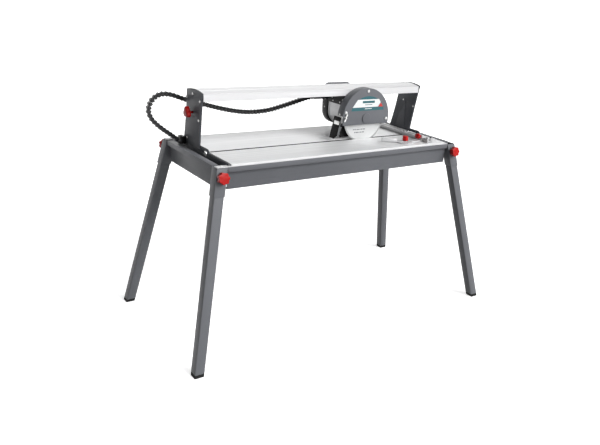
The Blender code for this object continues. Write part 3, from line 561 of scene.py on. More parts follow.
def screw(name, at, axis, body, finish="steel", size=1.0):
    """A pan head with a cross recess, sunk a little into what it holds."""
    head = settings("saw_screws")
    radius, height = head.head * size, head.height * size
    profile = [
        (0, height * 0.35),
        (radius * 0.24, height * 0.35),
        (radius * 0.34, height * 0.97),
        (radius * 0.62, height),
        (radius * 0.86, height * 0.82),
        (radius, height * 0.4),
        (radius, -0.0002),
        (0, -0.0002),
    ]
    return turned(name, profile, at, axis, finish, body, 24, cross_slot)


def tube(name, points, radius, finish, body, sides=14):
    shape = bmesh.new()
    rings = []
    points = [Vector(p) for p in points]
    side = None
    for index, point in enumerate(points):
        before, after = points[max(0, index - 1)], points[min(len(points) - 1, index + 1)]
        along = (after - before).normalized()
        if side is None:
            side = along.orthogonal().normalized()
        side = (side - along * side.dot(along)).normalized()
        other = along.cross(side)
        ring = []
        for step in range(sides):
            angle = 2 * math.pi * step / sides
            ring.append(shape.verts.new(point + radius * (side * math.cos(angle) + other * math.sin(angle))))
        rings.append(ring)
    for near, far in zip(rings, rings[1:]):
        for step in range(sides):
            after = (step + 1) % sides
            shape.faces.new((near[step], near[after], far[after], far[step]))
    shape.faces.new(rings[0])
    shape.faces.new(list(reversed(rings[-1])))
    return piece(name, shape, finish, body)


def arc(centre, radius, start, end, steps):
    points = []
    for step in range(steps + 1):
        angle = math.radians(start + (end - start) * step / steps)
        points.append((centre[0] + radius * math.cos(angle), centre[1] + radius * math.sin(angle)))
    return points


def smooth_route(points, spacing):
    """Evenly spaced points on a Catmull-Rom curve, about the stated spacing apart."""
    ends = [Vector(p) for p in points]
    ends = [2 * ends[0] - ends[1], *ends, 2 * ends[-1] - ends[-2]]
    fine = []
    for a, b, c, d in zip(ends, ends[1:], ends[2:], ends[3:]):
        for step in range(16):
            t = step / 16
            square = (2 * a - 5 * b + 4 * c - d) * t**2
            cube = (3 * b - a - 3 * c + d) * t**3
            fine.append(0.5 * (2 * b + (c - a) * t + square + cube))
    fine.append(ends[-2])
    total = sum((q - p).length for p, q in zip(fine, fine[1:]))
    count = max(2, round(total / spacing))
    route, walked, target = [fine[0]], 0.0, total / count
    for p, q in zip(fine, fine[1:]):
        step = (q - p).length
        while walked + step >= target - 1e-9 and len(route) < count:
            route.append(p.lerp(q, (target - walked) / step))
            target += total / count
        walked += step
    route.append(fine[-1])
    return route, total


# ---------------------------------------------------------------- stage
CAMERA_PLACE = (-1.4990, -2.1763, 1.3012)
CAMERA_RIGHT = (0.80243, -0.59236, 0.07219)
CAMERA_UP = (0.20784, 0.39083, 0.89669)
CAMERA_BACK = (-0.55938, -0.70453, 0.43673)
CAMERA_SHIFT = (-0.0811, 0.1226)


class SAW_OT_stage(bpy.types.Operator):
    """Sets the camera, the lamps and the pale floor"""

    bl_idname = "tile_saw.stage"
    bl_label = "Stage"

    def execute(self, context):
        sizes = settings("saw_stage")
        scene = context.scene
        scene.view_settings.view_transform = "Standard"
        lens = bpy.data.cameras.new("camera")
        lens.lens = sizes.lens
        lens.sensor_width = 36
        lens.shift_x, lens.shift_y = CAMERA_SHIFT
        lens.clip_end = 100
        camera = bpy.data.objects.new("camera", lens)
        turn = Matrix((CAMERA_RIGHT, CAMERA_UP, CAMERA_BACK)).transposed().to_4x4()
        camera.matrix_world = Matrix.Translation(CAMERA_PLACE) @ turn
        scene.collection.objects.link(camera)
        scene.camera = camera
        self.lamp("key_lamp", (0.40, -0.72, 0.57), sizes.key_strength, 38)
        self.lamp("front_lamp", (0.20, -0.97, 0.12), sizes.key_strength * 0.36, 45)
        self.lamp("back_lamp", (0.25, 0.90, 0.36), sizes.key_strength * 0.30, 60)
        self.lamp("side_lamp", (-0.80, -0.30, 0.52), sizes.key_strength * 0.035, 60)
        world = bpy.data.worlds.new("studio")
        world.use_nodes = True
        sky = world.node_tree.nodes["Background"]
        sky.inputs["Color"].default_value = (1, 1, 1, 1)
        sky.inputs["Strength"].default_value = sizes.sky_strength
        scene.world = world
        shape = bmesh.new()
        radius = sizes.floor_radius
        turns = [math.radians(angle) for angle in range(0, 91, 10)]
        rise = [(radius + 3 * math.sin(turn), 3 - 3 * math.cos(turn)) for turn in turns]
        rim = [(radius + 3.02, 6.0), (radius + 3.10, 6.0), (radius + 3.10, -0.05), (0, -0.05)]
        spun(shape, [(0, 0), (radius * 0.3, 0), (radius, 0), *rise[1:], *rim], (0, 0, 0), (0, 0, 1), 96)
        floor = piece("floor", shape, "floor", None)
        floor.visible_diffuse = False
        return {"FINISHED"}

    def lamp(self, name, towards, strength, spread):
        light = bpy.data.lights.new(name, "SUN")
        light.energy = strength
        light.angle = math.radians(spread)
        lamp = bpy.data.objects.new(name, light)
        lamp.rotation_euler = Vector(towards).to_track_quat("Z", "Y").to_euler()
        bpy.context.scene.collection.objects.link(lamp)


# ---------------------------------------------------------------- cable chain
CHAIN_Y = 0.130
CHAIN_ROUTE = (
    (-0.5375, 0.133, 0.7230),
    (-0.5480, 0.1325, 0.7310),
    (-0.5720, 0.131, 0.7490),
    (-0.5990, CHAIN_Y, 0.7690),
    (-0.6220, CHAIN_Y, 0.7900),
    (-0.6390, CHAIN_Y, 0.8120),
    (-0.6440, CHAIN_Y, 0.8370),
    (-0.6350, CHAIN_Y, 0.8620),
    (-0.6130, CHAIN_Y, 0.8830),
    (-0.5850, CHAIN_Y, 0.8905),
    (-0.5480, CHAIN_Y, 0.8840),
    (-0.5100, CHAIN_Y, 0.8700),
    (-0.4320, CHAIN_Y, 0.8480),
    (-0.3640, CHAIN_Y, 0.8300),
    (-0.2930, CHAIN_Y, 0.8155),
    (-0.2280, CHAIN_Y, 0.8095),
    (-0.1530, CHAIN_Y, 0.8135),
    (-0.0840, CHAIN_Y, 0.8275),
    (-0.0040, CHAIN_Y, 0.8470),
    (0.0300, CHAIN_Y, 0.8555),
    (0.0575, CHAIN_Y, 0.8590),
)
CHAIN_SPLIT = 6  # the leftmost point, where the route is split into two runs


def chain_link(shape, middle, along, sizes):
    """One link: a chamfered body with a rib, a narrower neck and a hinge disc on each side."""
    across = Vector((0, 1, 0))
    up = along.cross(across).normalized()
    across = up.cross(along).normalized()
    turn = Matrix((along, across, up)).transposed()
    half_w, half_d, pitch = sizes.width / 2, sizes.depth / 2, sizes.pitch
    cut = half_d * 0.35

    def section(x, w, d, c):
        ring = [(w, d - c), (w - c, d), (c - w, d), (-w, d - c)]
        ring += [(-w, c - d), (c - w, -d), (w - c, -d), (w, c - d)]
        return [shape.verts.new(middle + turn @ Vector((x, y, z))) for y, z in ring]

    def loft(stations):
        rings = [section(*station) for station in stations]
        for near, far in zip(rings, rings[1:]):
            for step in range(8):
                after = (step + 1) % 8
                shape.faces.new((near[step], near[after], far[after], far[step]))
        shape.faces.new(rings[0])
        shape.faces.new(list(reversed(rings[-1])))

    side, deep = half_w * 0.88, half_d * 0.82
    front = pitch * 0.36
    loft([
        (-front, side * 0.94, deep * 0.9, cut),
        (-front + 0.0010, side, deep, cut),
        (-0.0016, side, deep, cut),
        (-0.0008, half_w * 0.94, half_d, cut),
        (0.0022, half_w * 0.94, half_d, cut),
        (0.0030, side, deep, cut),
        (front - 0.0010, side, deep, cut),
        (front, side * 0.94, deep * 0.9, cut),
    ])
    neck = (side * 0.72, deep * 0.62, cut * 0.6)
    loft([(front + 0.0002, *neck), (pitch - front - 0.0002, *neck)])
    for hand in (-1, 1):
        at = middle + turn @ Vector((-pitch * 0.22, hand * (side + 0.00005), 0))
        disc = [(0, 0.0012), (0.0016, 0.0012), (0.0022, 0.0006), (0.0038, 0.0007), (0.0042, 0.0), (0, 0)]
        spun(shape, disc, at, across * hand, 12)


class SAW_OT_chain(bpy.types.Operator):
    """Builds the cable chain link by link, in two runs split at its leftmost point"""

    bl_idname = "tile_saw.chain"
    bl_label = "Cable chain"

    def execute(self, context):
        sizes = settings("saw_chain")
        fixed_route, moving_route = CHAIN_ROUTE[: CHAIN_SPLIT + 1], CHAIN_ROUTE[CHAIN_SPLIT:]
        fixed = self.run("chain_fixed_run", fixed_route, sizes)
        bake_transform(fixed)
        moving = self.run("chain_moving_run", moving_route, sizes)
        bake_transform(moving)
        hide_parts("cable_chain")
        self.declare(fixed, fixed_route)
        self.declare(moving, moving_route)
        finished(soften("chain_clamp", 0.0015), "black")
        low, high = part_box("chain_clamp")
        for index, y in enumerate((low.y + 0.006, high.y - 0.006)):
            at = ((low.x + high.x) / 2, y, high.z)
            screw(f"chain_clamp_screw_{index + 1}", at, (0, 0, 1), "frame", "steel", 0.8)
        return {"FINISHED"}

    def run(self, name, route, sizes):
        points, _ = smooth_route(route, sizes.pitch)
        shape = bmesh.new()
        for near, far in zip(points, points[1:]):
            chain_link(shape, near.lerp(far, 0.5), (far - near).normalized(), sizes)
        return piece(name, shape, "chain", None)

    def declare(self, thing, route):
        path, total = smooth_route(route, CORD_STEP)


# ---------------------------------------------------------------- frame and table
def named(*starts):
    return [n for n in sorted(NODES) if n.startswith(starts)]


class SAW_OT_frame(bpy.types.Operator):
    """Paints the frame and legs and fits the rear panel's rivets and the feet's bars"""

    bl_idname = "tile_saw.frame"
    bl_label = "Frame and legs"

    def execute(self, context):
        coat("grey_paint", *named("leg_front", "leg_rear", "leg_socket"), width=0.0009)
        coat("grey_paint", "front_panel", "rear_panel", "left_end_panel", "right_end_panel", width=0.0006)
        coat("rubber", *named("foot_"), width=0.001)
        low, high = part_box("front_panel")
        for count, x in enumerate((low.x + 0.012, 0.0, high.x - 0.012)):
            at = (x, -low.y, high.z - 0.009)
            screw(f"rear_panel_rivet_{count + 1}", at, (0, 1, 0), "frame", "grey_paint", 0.8)
        for node in named("foot_"):
            self.tread(node)
        return {"FINISHED"}

    def tread(self, node):
        """Raised bars round the outer half of a foot, just above the floor."""
        low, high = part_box(node)
        for count in range(2):
            z = 0.0035 + count * 0.004
            part = (z / 0.012) * 0.0012
            side = 1 if low.x > 0 else -1
            face = high.x if side > 0 else low.x
            near, far = sorted((face - side * part - side * 0.0012, face - side * part - side * 0.0002))
            start, end = (near, low.y + 0.006, z), (far, high.y - 0.006, z + 0.0016)
            block(f"{node}_bar_{count + 1}", start, end, "rubber", "frame", 0.0003)


class SAW_OT_table(bpy.types.Operator):
    """Builds the ribbed table plates and finishes their rails and the water tray"""

    bl_idname = "tile_saw.table"
    bl_label = "Table and tray"

    def execute(self, context):
        for name in ("table_front_plate", "table_rear_plate"):
            low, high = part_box(name)
            outline = [(low.y, low.z), (low.y, high.z - 0.0006), (low.y + 0.0006, high.z)]
            pitch, half, depth = 0.0105, 0.00055, 0.0003
            y = low.y + 0.009
            while y < high.y - 0.006:
                outline += [(y - half, high.z), (y - half * 0.5, high.z - depth)]
                outline += [(y + half * 0.5, high.z - depth), (y + half, high.z)]
                y += pitch
            outline += [(high.y - 0.0006, high.z), (high.y, high.z - 0.0006), (high.y, low.z)]
            plate = prism(name.replace("plate", "top"), [outline], low.x, high.x, "x", "table", "frame")
            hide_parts(name)
        front_edge, rear_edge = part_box("table_front_plate")[1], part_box("table_rear_plate")[0]
        for name, y in (("front", front_edge.y), ("rear", rear_edge.y - 0.0005)):
            near, far = (rear_edge.x, y, rear_edge.z), (front_edge.x, y + 0.0005, front_edge.z - 0.0004)
            block(f"slot_liner_{name}", near, far, "tray", "frame", 0.0001)
        coat("rail", "table_front_rail", "table_rear_rail", width=0.0004)
        coat("tray", "water_tray", width=0.0008)
        low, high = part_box("table_front_rail")
        for end, way in (("front", 1), ("rear", -1)):
            at = (low.x + 0.020, way * (low.y + high.y) / 2, high.z)
            screw(f"{end}_tab_screw", at, (0, 0, 1), "frame", "steel", 0.85)
        return {"FINISHED"}


# ---------------------------------------------------------------- uprights and bridge
# screws and ridge, across and up
UPRIGHT_SCREWS = (
    (0.048, 0.902),
    (0.100, 0.883),
    (-0.011, 0.884),
    (0.004, 0.816),
    (0.110, 0.735),
    (0.150, 0.690),
)
PLATE_SCREWS = ((-0.003, 0.824), (0.065, 0.842))
PIVOT = (-0.050, 0.712)  # the bevel pivot, across and up
PLATE_RIDGE = ((0.052, 0.846), (0.050, 0.836), (0.046, 0.790), (0.042, 0.745), (0.040, 0.730))


class SAW_OT_uprights(bpy.types.Operator):
    """Paints the uprights and tilt plates and fits their screws, stiffening ridges and slot covers"""

    bl_idname = "tile_saw.uprights"
    bl_label = "Uprights"

    def execute(self, context):
        coat("dark_paint", "left_upright", "right_upright", width=0.0005)
        coat("dark_paint", "left_tilt_plate", "right_tilt_plate", width=0.0005)
        coat("steel", "left_pivot_bolt", "right_pivot_bolt", width=0.0008)
        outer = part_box("right_upright")[1].x
        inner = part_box("right_tilt_plate")[0].x
        for side, way in (("left", -1), ("right", 1)):
            for count, (y, z) in enumerate(UPRIGHT_SCREWS):
                at = (way * outer, y, z)
                screw(f"{side}_upright_screw_{count + 1}", at, (way, 0, 0), "frame", "steel", 1.1)
            for count, (y, z) in enumerate(PLATE_SCREWS):
                at = (way * inner, y, z)
                screw(f"{side}_plate_screw_{count + 1}", at, (-way, 0, 0), "bridge", "steel", 0.8)
            ridge = [(way * inner, y, z) for y, z in PLATE_RIDGE]
            tube(f"{side}_plate_ridge", ridge, 0.0016, "dark_paint", "bridge", 10)
            slot = [*arc(PIVOT, 0.1725, 2, 53, 24), *arc(PIVOT, 0.1535, 53, 2, 24)]
            near, far = sorted((way * (inner - 0.0002), way * (inner - 0.0008)))
            prism(f"{side}_slot_cover", [slot], near, far, "x", "dark_paint", "bridge", 0.0002)
        return {"FINISHED"}


class SAW_OT_bridge(bpy.types.Operator):
    """Builds the extruded bridge rail with its arched, grooved top and hollow chambers"""

    bl_idname = "tile_saw.bridge"
    bl_label = "Bridge rail"

    def execute(self, context):
        sizes = settings("saw_rail")
        low, high = RAIL_LOW, RAIL_HIGH
        edge = high.z - sizes.crown
        depth = high.y - low.y

        def crown(y):
            t = (y - low.y) / depth
            return edge + sizes.crown * 4 * t * (1 - t)

        grooves = [low.y + depth * part for part in (0.26, 0.74)]
        half, dip = sizes.groove_width / 2, sizes.groove_depth
        top = [(low.y + depth * i / 24, crown(low.y + depth * i / 24)) for i in range(1, 24)]
        top = [p for p in top if all(abs(p[0] - g) > half * 1.5 for g in grooves)]
        for g in grooves:
            top += [(g - half, crown(g - half)), (g - half * 0.7, crown(g) - dip)]
            top += [(g + half * 0.7, crown(g) - dip), (g + half, crown(g + half))]
        top = sorted(set(top))
        front = [(low.y, low.z + 0.001), (low.y, low.z + 0.006), (low.y + 0.0004, low.z + 0.0063)]
        front += [(low.y + 0.0004, low.z + 0.0069), (low.y, low.z + 0.0072), (low.y, edge - 0.0062)]
        front += [(low.y + 0.0004, edge - 0.0059), (low.y + 0.0004, edge - 0.0053), (low.y, edge - 0.005)]
        front += [(low.y, edge - 0.0006), (low.y + 0.0006, edge + 0.0001)]
        rear = [(low.y + high.y - y, z) for y, z in reversed(front)]
        middle = 0.040
        mouth, channel, roof = 0.012, 0.030, 0.9095
        lip = low.z + 0.003
        under = [(mouth, low.z), (mouth, lip), (channel, lip), (channel, roof)]
        under = [(middle + y, z) for y, z in under] + [(middle - y, z) for y, z in reversed(under)]
        outline = [(low.y + 0.001, low.z), *front, *top, *rear, (high.y - 0.001, low.z), *under]
        wall = sizes.wall
        rooms = []
        for near, far in ((low.y + wall, middle - channel - wall), (middle + channel + wall, high.y - wall)):
            rooms.append([(near, low.z + wall), (far, low.z + wall), (far, edge - wall), (near, edge - wall)])
        rail = prism("bridge_rail", [outline, *rooms], low.x, high.x, "x", "rail", "bridge")
        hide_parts("rail")
        return {"FINISHED"}


# ---------------------------------------------------------------- cutting head
class SAW_OT_carriage(bpy.types.Operator):
    """Finishes the saddle, rollers, handle and motor and fits their screws, bands, louvres and yoke plates"""

    bl_idname = "tile_saw.carriage"
    bl_label = "Saddle and motor"

    def execute(self, context):
        coat("black", "saddle", "switch_rocker", width=0.0012)
        coat("black", "motor_end_cover", *named("roller_"), width=0.0015)
        coat("grey_paint", "handle")
        coat("cast", "motor_housing")
        coat("windings", "stator")
        coat("steel", "front_bearing", "rotor")
        middle = (MOTOR_LOW.x + MOTOR_HIGH.x) / 2
        for side, way in (("left", -1), ("right", 1)):
            x = SADDLE_RIGHT if way > 0 else middle - (SADDLE_RIGHT - middle)
            for count, y in enumerate((0.000, 0.075, 0.150)):
                at = (x, y, 0.8640)
                screw(f"{side}_saddle_screw_{count + 1}", at, (way, 0, 0), "carriage", "steel", 0.7)
        cover_low, cover_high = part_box("motor_end_cover")
        reach = (cover_high.x - cover_low.x) / 2
        for side, way in (("left", -1), ("right", 1)):
            for level, z in (("top", 0.846), ("low", 0.812)):
                at = (middle + way * reach, (cover_low.y + cover_high.y) / 2, z)
                screw(f"{side}_cover_screw_{level}", at, (way, 0, 0), "carriage", "steel", 0.75)
                at = (middle + way * reach * 0.78, cover_high.y, z)
                screw(f"{side}_cover_back_screw_{level}", at, (0, 1, 0), "carriage", "steel", 0.75)
        self.vents(middle, cover_high.y)
        self.bands(middle)
        half = (MOTOR_HIGH.x - MOTOR_LOW.x) / 2
        for side, way in (("left", -1), ("right", 1)):
            near, far = sorted((middle + way * (half + 0.0003), middle + way * (half + 0.0042)))
            block(f"{side}_yoke", (near, -0.0200, 0.8385), (far, 0.1255, 0.8577), "black", "carriage", 0.0012)
            for count, y in enumerate((-0.008, 0.040, 0.088)):
                at = (middle + way * (half + 0.0042), y, 0.8480)
                screw(f"{side}_yoke_screw_{count + 1}", at, (way, 0, 0), "carriage", "steel", 0.7)
        return {"FINISHED"}

    def vents(self, middle, back):
        """Raised louvres low on the motor cover's back face."""
        for count in range(5):
            z = 0.764 + count * 0.0065
            half = 0.030 - abs(count - 2) * 0.001 + (0.004 if count > 1 else -0.004 * (2 - count))
            near, far = (middle - half, back - 0.0005, z), (middle + half, back - 0.0001, z + 0.0028)
            block(f"cover_louvre_{count + 1}", near, far, "tray", "carriage", 0.0)

    def bands(self, middle):
        """Two thin cast bands round the motor."""
        radius = (MOTOR_HIGH.x - MOTOR_LOW.x) / 2
        top = 0.8380
        for count, y in enumerate((0.006, 0.116)):
            outer = [*arc((middle, HUB.z), radius + 0.0012, 180, 360, 40)]
            inner = [*arc((middle, HUB.z), radius - 0.0006, 360, 180, 40)]
            right, left = middle + radius, middle - radius
            outline = [(left - 0.0012, top), *outer, (right + 0.0012, top)]
            outline += [(right - 0.0006, top), *inner, (left + 0.0006, top)]
            prism(f"motor_band_{count + 1}", [outline], y, y + 0.004, "y", "cast", "carriage", 0.0004)


LABEL_MIDDLE = 0.0055  # from the hub to the label's middle, across


class SAW_OT_guard(bpy.types.Operator):
    """Paints the blade guard and fits its plain label, screws, wing nut and rubber skirt"""

    bl_idname = "tile_saw.guard"
    bl_label = "Blade guard"

    def execute(self, context):
        coat("grey_paint", "guard_shell", "guard_cover", width=0.0010)
        self.label()
        front = -0.066
        reach = (GUARD_HIGH.x - GUARD_LOW.x) / 2 - 0.0115
        for name, angle in (("top", 89), ("right", -3), ("left", 166)):
            turn = math.radians(angle)
            at = (HUB.x + reach * math.cos(turn), front, HUB.z + reach * math.sin(turn))
            screw(f"guard_screw_{name}", at, (0, -1, 0), "carriage", "steel", 1.45)
        at = (GUARD_LOW.x + 0.0002, -0.044, HUB.z + 0.016)
        screw("guard_side_screw", at, (-1, 0, 0), "carriage", "steel", 1.1)
        self.wing_nut(Vector((HUB.x - reach - 0.001, front, HUB.z + 0.007)))
        skirt = [(-0.104, -0.025), (-0.042, -0.025), (-0.042, -0.068), (-0.060, -0.078), (-0.104, -0.078)]
        outline = [(HUB.x + x, HUB.z + z) for x, z in skirt]
        prism("rear_skirt", [outline], -0.0336, -0.0306, "y", "rubber", "carriage", 0.0006)
        return {"FINISHED"}

    def label(self):
        """An arch, a panel, a bar, a band and a small triangle, all without lettering."""
        middle = HUB.x + LABEL_MIDDLE
        near, far = -0.06635, -0.06595
        shapes = {
            "label_arch": ("teal", arc((middle, 0.7832), 0.1048, 117.5, 62.5, 20)),
            "label_panel": (
                "white",
                [
                    (middle - 0.078, 0.8452),
                    (middle + 0.0515, 0.8452),
                    (middle + 0.064, 0.8625),
                    (middle + 0.0545, 0.8755),
                    (middle - 0.054, 0.8755),
                ],
            ),
            "label_band": (
                "teal",
                [
                    (middle - 0.0835, 0.8315),
                    (middle + 0.0835, 0.8315),
                    (middle + 0.0790, 0.8448),
                    (middle - 0.0785, 0.8448),
                ],
            ),
            "label_triangle": (
                "red_print",
                [(middle + 0.0535, 0.8452), (middle + 0.0775, 0.8452), (middle + 0.0655, 0.8608)],
            ),
        }
        for name, (finish, outline) in shapes.items():
            prism(name, [outline], near, far, "y", finish, "carriage")
        for name, finish, half, z, tall in (
            ("label_bar_wide", "teal", 0.031, 0.8610, 0.0090),
            ("label_bar_thin", "teal", 0.019, 0.8535, 0.0022),
            ("label_bar_low", "white", 0.018, 0.8378, 0.0022),
        ):
            left, right = middle + 0.002 - half, middle + 0.002 + half
            outline = [(left, z), (right, z), (right, z + tall), (left, z + tall)]
            prism(name, [outline], near - 0.00015, far, "y", finish, "carriage")

    def wing_nut(self, at):
        hub = [(0, 0.0105), (0.003, 0.0105), (0.0036, 0.0095), (0.0048, 0.004)]
        hub += [(0.0058, 0.0005), (0.0058, 0), (0, 0)]
        turned("wing_nut_hub", hub, at, (0, -1, 0), "steel", "carriage", 20)
        for name, way in (("upper", 1), ("lower", -1)):
            wing = [(0.0018, 0.001), (0.0045, 0.0045), (0.0090, 0.0125), (0.0062, 0.0160)]
            wing += [(0.0022, 0.0135), (-0.0012, 0.0065), (-0.0024, 0.002)]
            outline = [(at.x + way * x, at.z + way * z) for x, z in wing]
            near, far = at.y - 0.0085, at.y - 0.0063
            prism(f"wing_nut_{name}_wing", [outline], near, far, "y", "steel", "carriage", 0.0006)


class SAW_OT_blade(bpy.types.Operator):
    """Builds the diamond blade with its rim, core and worn print"""

    bl_idname = "tile_saw.blade"
    bl_label = "Blade"

    def execute(self, context):
        sizes = settings("saw_blade")
        half = (BLADE_HIGH.y - BLADE_LOW.y) / 2
        core = sizes.core / 2
        inner = BLADE_RADIUS - sizes.rim
        bore = 0.0127
        profile = [(bore, core), (inner - 0.0004, core), (inner, half * 0.9), (inner + 0.0006, half)]
        profile += [(BLADE_RADIUS - 0.0006, half), (BLADE_RADIUS, half * 0.6), (BLADE_RADIUS, -half * 0.6)]
        profile += [(BLADE_RADIUS - 0.0006, -half), (inner + 0.0006, -half), (inner, -half * 0.9)]
        profile += [(inner - 0.0004, -core), (bore, -core)]
        disc = turned("diamond_blade", profile, HUB, (0, -1, 0), "blade", "blade_rotor", 128)
        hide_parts("blade")
        coat("steel", "blade_nut", width=0.0005)
        face = HUB.y - core
        widths = (0.010, 0.006, 0.012, 0.005, 0.008, 0.011)
        for row, (z, start) in enumerate(((-0.049, -0.052), (-0.061, -0.044))):
            x = HUB.x + start
            for count, width in enumerate(widths[row:]):
                low_z = HUB.z + z
                outline = [(x, low_z), (x + width, low_z), (x + width, low_z + 0.0040), (x, low_z + 0.0040)]
                mark = f"blade_mark_{row + 1}_{count + 1}"
                prism(mark, [outline], face - 0.00012, face + 0.0001, "y", "smudge", "blade_rotor")
                x += width + 0.0022
        return {"FINISHED"}


FLAP_LEAN = math.radians(13)
FLAP_THICKNESS = 0.003
FLAP_LENGTH = 0.087


class SAW_OT_flap(bpy.types.Operator):
    """Finishes the splash flap and fits its edge strip and clamp plate"""

    bl_idname = "tile_saw.flap"
    bl_label = "Splash flap"

    def execute(self, context):
        coat("rubber", "splash_flap", width=0.0004)
        coat("holder", "flap_holder", width=0.0008)
        hinge = next(Vector(j["pos_m"]) for j in frame["joints"] if j["name"] == "flap_swing")
        low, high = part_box("splash_flap")
        x, foot = hinge.x - FLAP_THICKNESS, hinge.z - FLAP_LENGTH
        side = [(hinge.x, foot + 0.018), (hinge.x + 0.0050, foot + 0.018)]
        side += [(hinge.x + 0.0110, 0.7740), (hinge.x, 0.7740)]
        edge = (x - 0.0006, low.y - 0.0010, foot + 0.018), (hinge.x, low.y - 0.0001, 0.7990)
        clamp = (x - 0.0012, low.y + 0.004, 0.7780), (x, high.y - 0.010, 0.7920)
        made = [
            prism("flap_front_strip", [side], low.y, low.y + 0.0016, "y", "edge", "flap", 0.0003),
            block("flap_edge_strip", *edge, "edge", "flap", 0.0002),
            block("flap_clamp_plate", *clamp, "steel", "flap", 0.0004),
        ]
        for count, y in enumerate((low.y + 0.010, high.y - 0.016)):
            at = (x - 0.0012, y, 0.785)
            made.append(screw(f"flap_screw_{count + 1}", at, (-1, 0, 0), "flap", "steel", 0.7))
        for count in range(4):
            z = foot + 0.012 + count * 0.011
            near, far = (x - 0.0007, low.y + 0.008, z), (x + 0.0002, high.y - 0.006, z + 0.0022)
            made.append(block(f"flap_rib_{count + 1}", near, far, "rubber", "flap", 0.0003))
        lean = Matrix.Translation(hinge) @ Matrix.Rotation(FLAP_LEAN, 4, "Y") @ Matrix.Translation(-hinge)
        for thing in made:
            thing.data.transform(lean)
        return {"FINISHED"}


# ---------------------------------------------------------------- fence, guide and knobs
class SAW_OT_fence(bpy.types.Operator):
    """Finishes the fence bar and angle guide and fits the bar's end plates and the protractor's marks"""

    bl_idname = "tile_saw.fence"
    bl_label = "Fence and guide"

    def execute(self, context):
        coat("fence", "fence_bar", width=0.0005)
        coat("bar", "guide_arm", "guide_block", width=0.0005)
        top = BAR_HIGH.z
        plates = {
            "bar_front_plate": (
                (BAR_LOW.x + 0.001, BAR_LOW.y + 0.0010),
                (BAR_HIGH.x + 0.014, BAR_LOW.y + 0.0150),
            ),
            "bar_rear_plate": ((BAR_LOW.x - 0.006, -0.077), (BAR_HIGH.x + 0.004, -0.056)),
        }
        for name, (near, far) in plates.items():
            block(name, (*near, top), (*far, top + 0.0022), "bar", "frame", 0.0005)
            for count, part in enumerate((0.14, 0.40, 0.64, 0.88)):
                x = near[0] + (far[0] - near[0]) * part
                y = (near[1] + far[1]) / 2 + 0.003 * (-1) ** count
                at = (x, y, top + 0.0022)
                screw(f"{name}_screw_{count + 1}", at, (0, 0, 1), "frame", "black", 0.92)
        # Painted shade: a black strip on the groove's floor darkens the groove where the front lamps would
        # light it grey.
        groove = (BAR_LOW.x + BAR_HIGH.x) / 2
        near = (groove - 0.0034, BAR_LOW.y + 0.001, top - 0.0060)
        far = (groove + 0.0034, BAR_HIGH.y - 0.001, top - 0.0053)
        block("bar_groove_painted_shade", near, far, "black", "frame", 0.0)
        low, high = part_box("guide_arm_knob")
        centre = (low + high) / 2
        disc_top = 0.7203
        for count in range(13):
            turn = math.radians(100 + count * 12.5)
            along = Vector((math.cos(turn), math.sin(turn), 0))
            across = Vector((-along.y, along.x, 0)) * 0.0004
            inner = 0.0265 if count % 3 else 0.0240
            ends = [centre + along * inner, centre + along * 0.0308]
            outline = [ends[0] - across, ends[1] - across, ends[1] + across, ends[0] + across]
            flat = [(point.x, point.y) for point in outline]
            near, far = disc_top - 0.0001, disc_top + 0.00015
            prism(f"protractor_mark_{count + 1}", [flat], near, far, "z", "black", "guide")
        return {"FINISHED"}


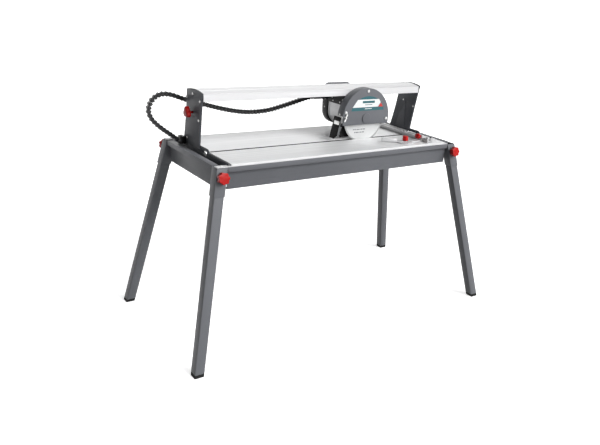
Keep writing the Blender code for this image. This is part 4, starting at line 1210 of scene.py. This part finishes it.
class SAW_OT_knobs(bpy.types.Operator):
    """Finishes the red knobs and builds the lobed ones"""

    bl_idname = "tile_saw.knobs"
    bl_label = "Knobs"

    def execute(self, context):
        coat("red", *named("leg_knob_"), "guide_arm_knob", width=0.0016)
        for side, way in (("left", -1), ("right", 1)):
            node = f"{side}_bevel_knob"
            low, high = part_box(node)
            face, inner = (low.x, high.x) if way < 0 else (high.x, low.x)
            start = Vector((inner, *self.stud))
            self.lobed(node, start, (way, 0, 0), abs(face - inner), 0.018, 0.0222, 3, 0.26)
        low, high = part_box("guide_block_knob")
        start = Vector((high.x, (low.y + high.y) / 2, (low.z + high.z) / 2))
        self.lobed("guide_block_knob", start, (-1, 0, 0), high.x - low.x, 0.014, 0.0149, 2, 0.26)
        return {"FINISHED"}

    stud = (0.054774, 0.836865)  # the clamping stud, across and up

    def lobed(self, node, start, axis, reach, height, radius, lobes, depth):
        """A thick rounded knob on its shank, in place of a packed one and within its reach."""
        neck = reach - height
        rise = [(0, reach - 0.001), (0.30, reach), (0.62, reach - 0.0004), (0.86, reach - 0.0022)]
        rise += [(0.97, reach - 0.0048), (1.0, reach - height * 0.5), (0.97, neck + 0.0035)]
        rise += [(0.84, neck + 0.0010), (0.55, neck)]
        profile = [(part * radius, up) for part, up in rise] + [(0.0036, neck), (0.0036, 0.0), (0, 0)]
        turn = Vector((0, 0, 1)).rotation_difference(Vector(axis)).to_matrix()
        lift = turn.transposed() @ Vector((0, 1, 0) if lobes == 2 else (0, 0, 1))
        phase = math.atan2(lift.y, lift.x)

        def lobe(index, angle):
            if not 0 < index < 9:
                return 1
            return 1 - depth * (0.5 - 0.5 * math.cos(lobes * (angle - phase)))

        knob = turned(f"{node}_grip", profile, start, axis, "red", node, 72, lobe)
        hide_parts(node)


OPERATORS = (
    SAW_OT_stage,
    SAW_OT_chain,
    SAW_OT_frame,
    SAW_OT_table,
    SAW_OT_uprights,
    SAW_OT_bridge,
    SAW_OT_carriage,
    SAW_OT_guard,
    SAW_OT_blade,
    SAW_OT_flap,
    SAW_OT_fence,
    SAW_OT_knobs,
)


class SAW_PT_panel(bpy.types.Panel):
    """Lists the saw's sizes, colours and pieces"""

    bl_idname = "SAW_PT_panel"
    bl_label = "Tile saw"
    bl_space_type = "VIEW_3D"
    bl_region_type = "UI"
    bl_category = "Tile saw"

    def draw(self, context):
        for name, group in GROUPS.items():
            box = self.layout.box()
            for prop in group.__annotations__:
                box.prop(getattr(context.scene, name), prop)
        for operator in OPERATORS:
            self.layout.operator(operator.bl_idname)


def register():
    for group in GROUPS.values():
        bpy.utils.register_class(group)
    for name, group in GROUPS.items():
        setattr(bpy.types.Scene, name, PointerProperty(type=group))
    for operator in OPERATORS:
        bpy.utils.register_class(operator)
    bpy.utils.register_class(SAW_PT_panel)


def unregister():
    bpy.utils.unregister_class(SAW_PT_panel)
    for operator in reversed(OPERATORS):
        bpy.utils.unregister_class(operator)
    for name in GROUPS:
        delattr(bpy.types.Scene, name)
    for group in reversed(GROUPS.values()):
        bpy.utils.unregister_class(group)


def main():
    register()
    make_finishes()
    for operator in OPERATORS:
        group, name = operator.bl_idname.split(".")
        getattr(getattr(bpy.ops, group), name)()


if __name__ == "__main__":
    main()
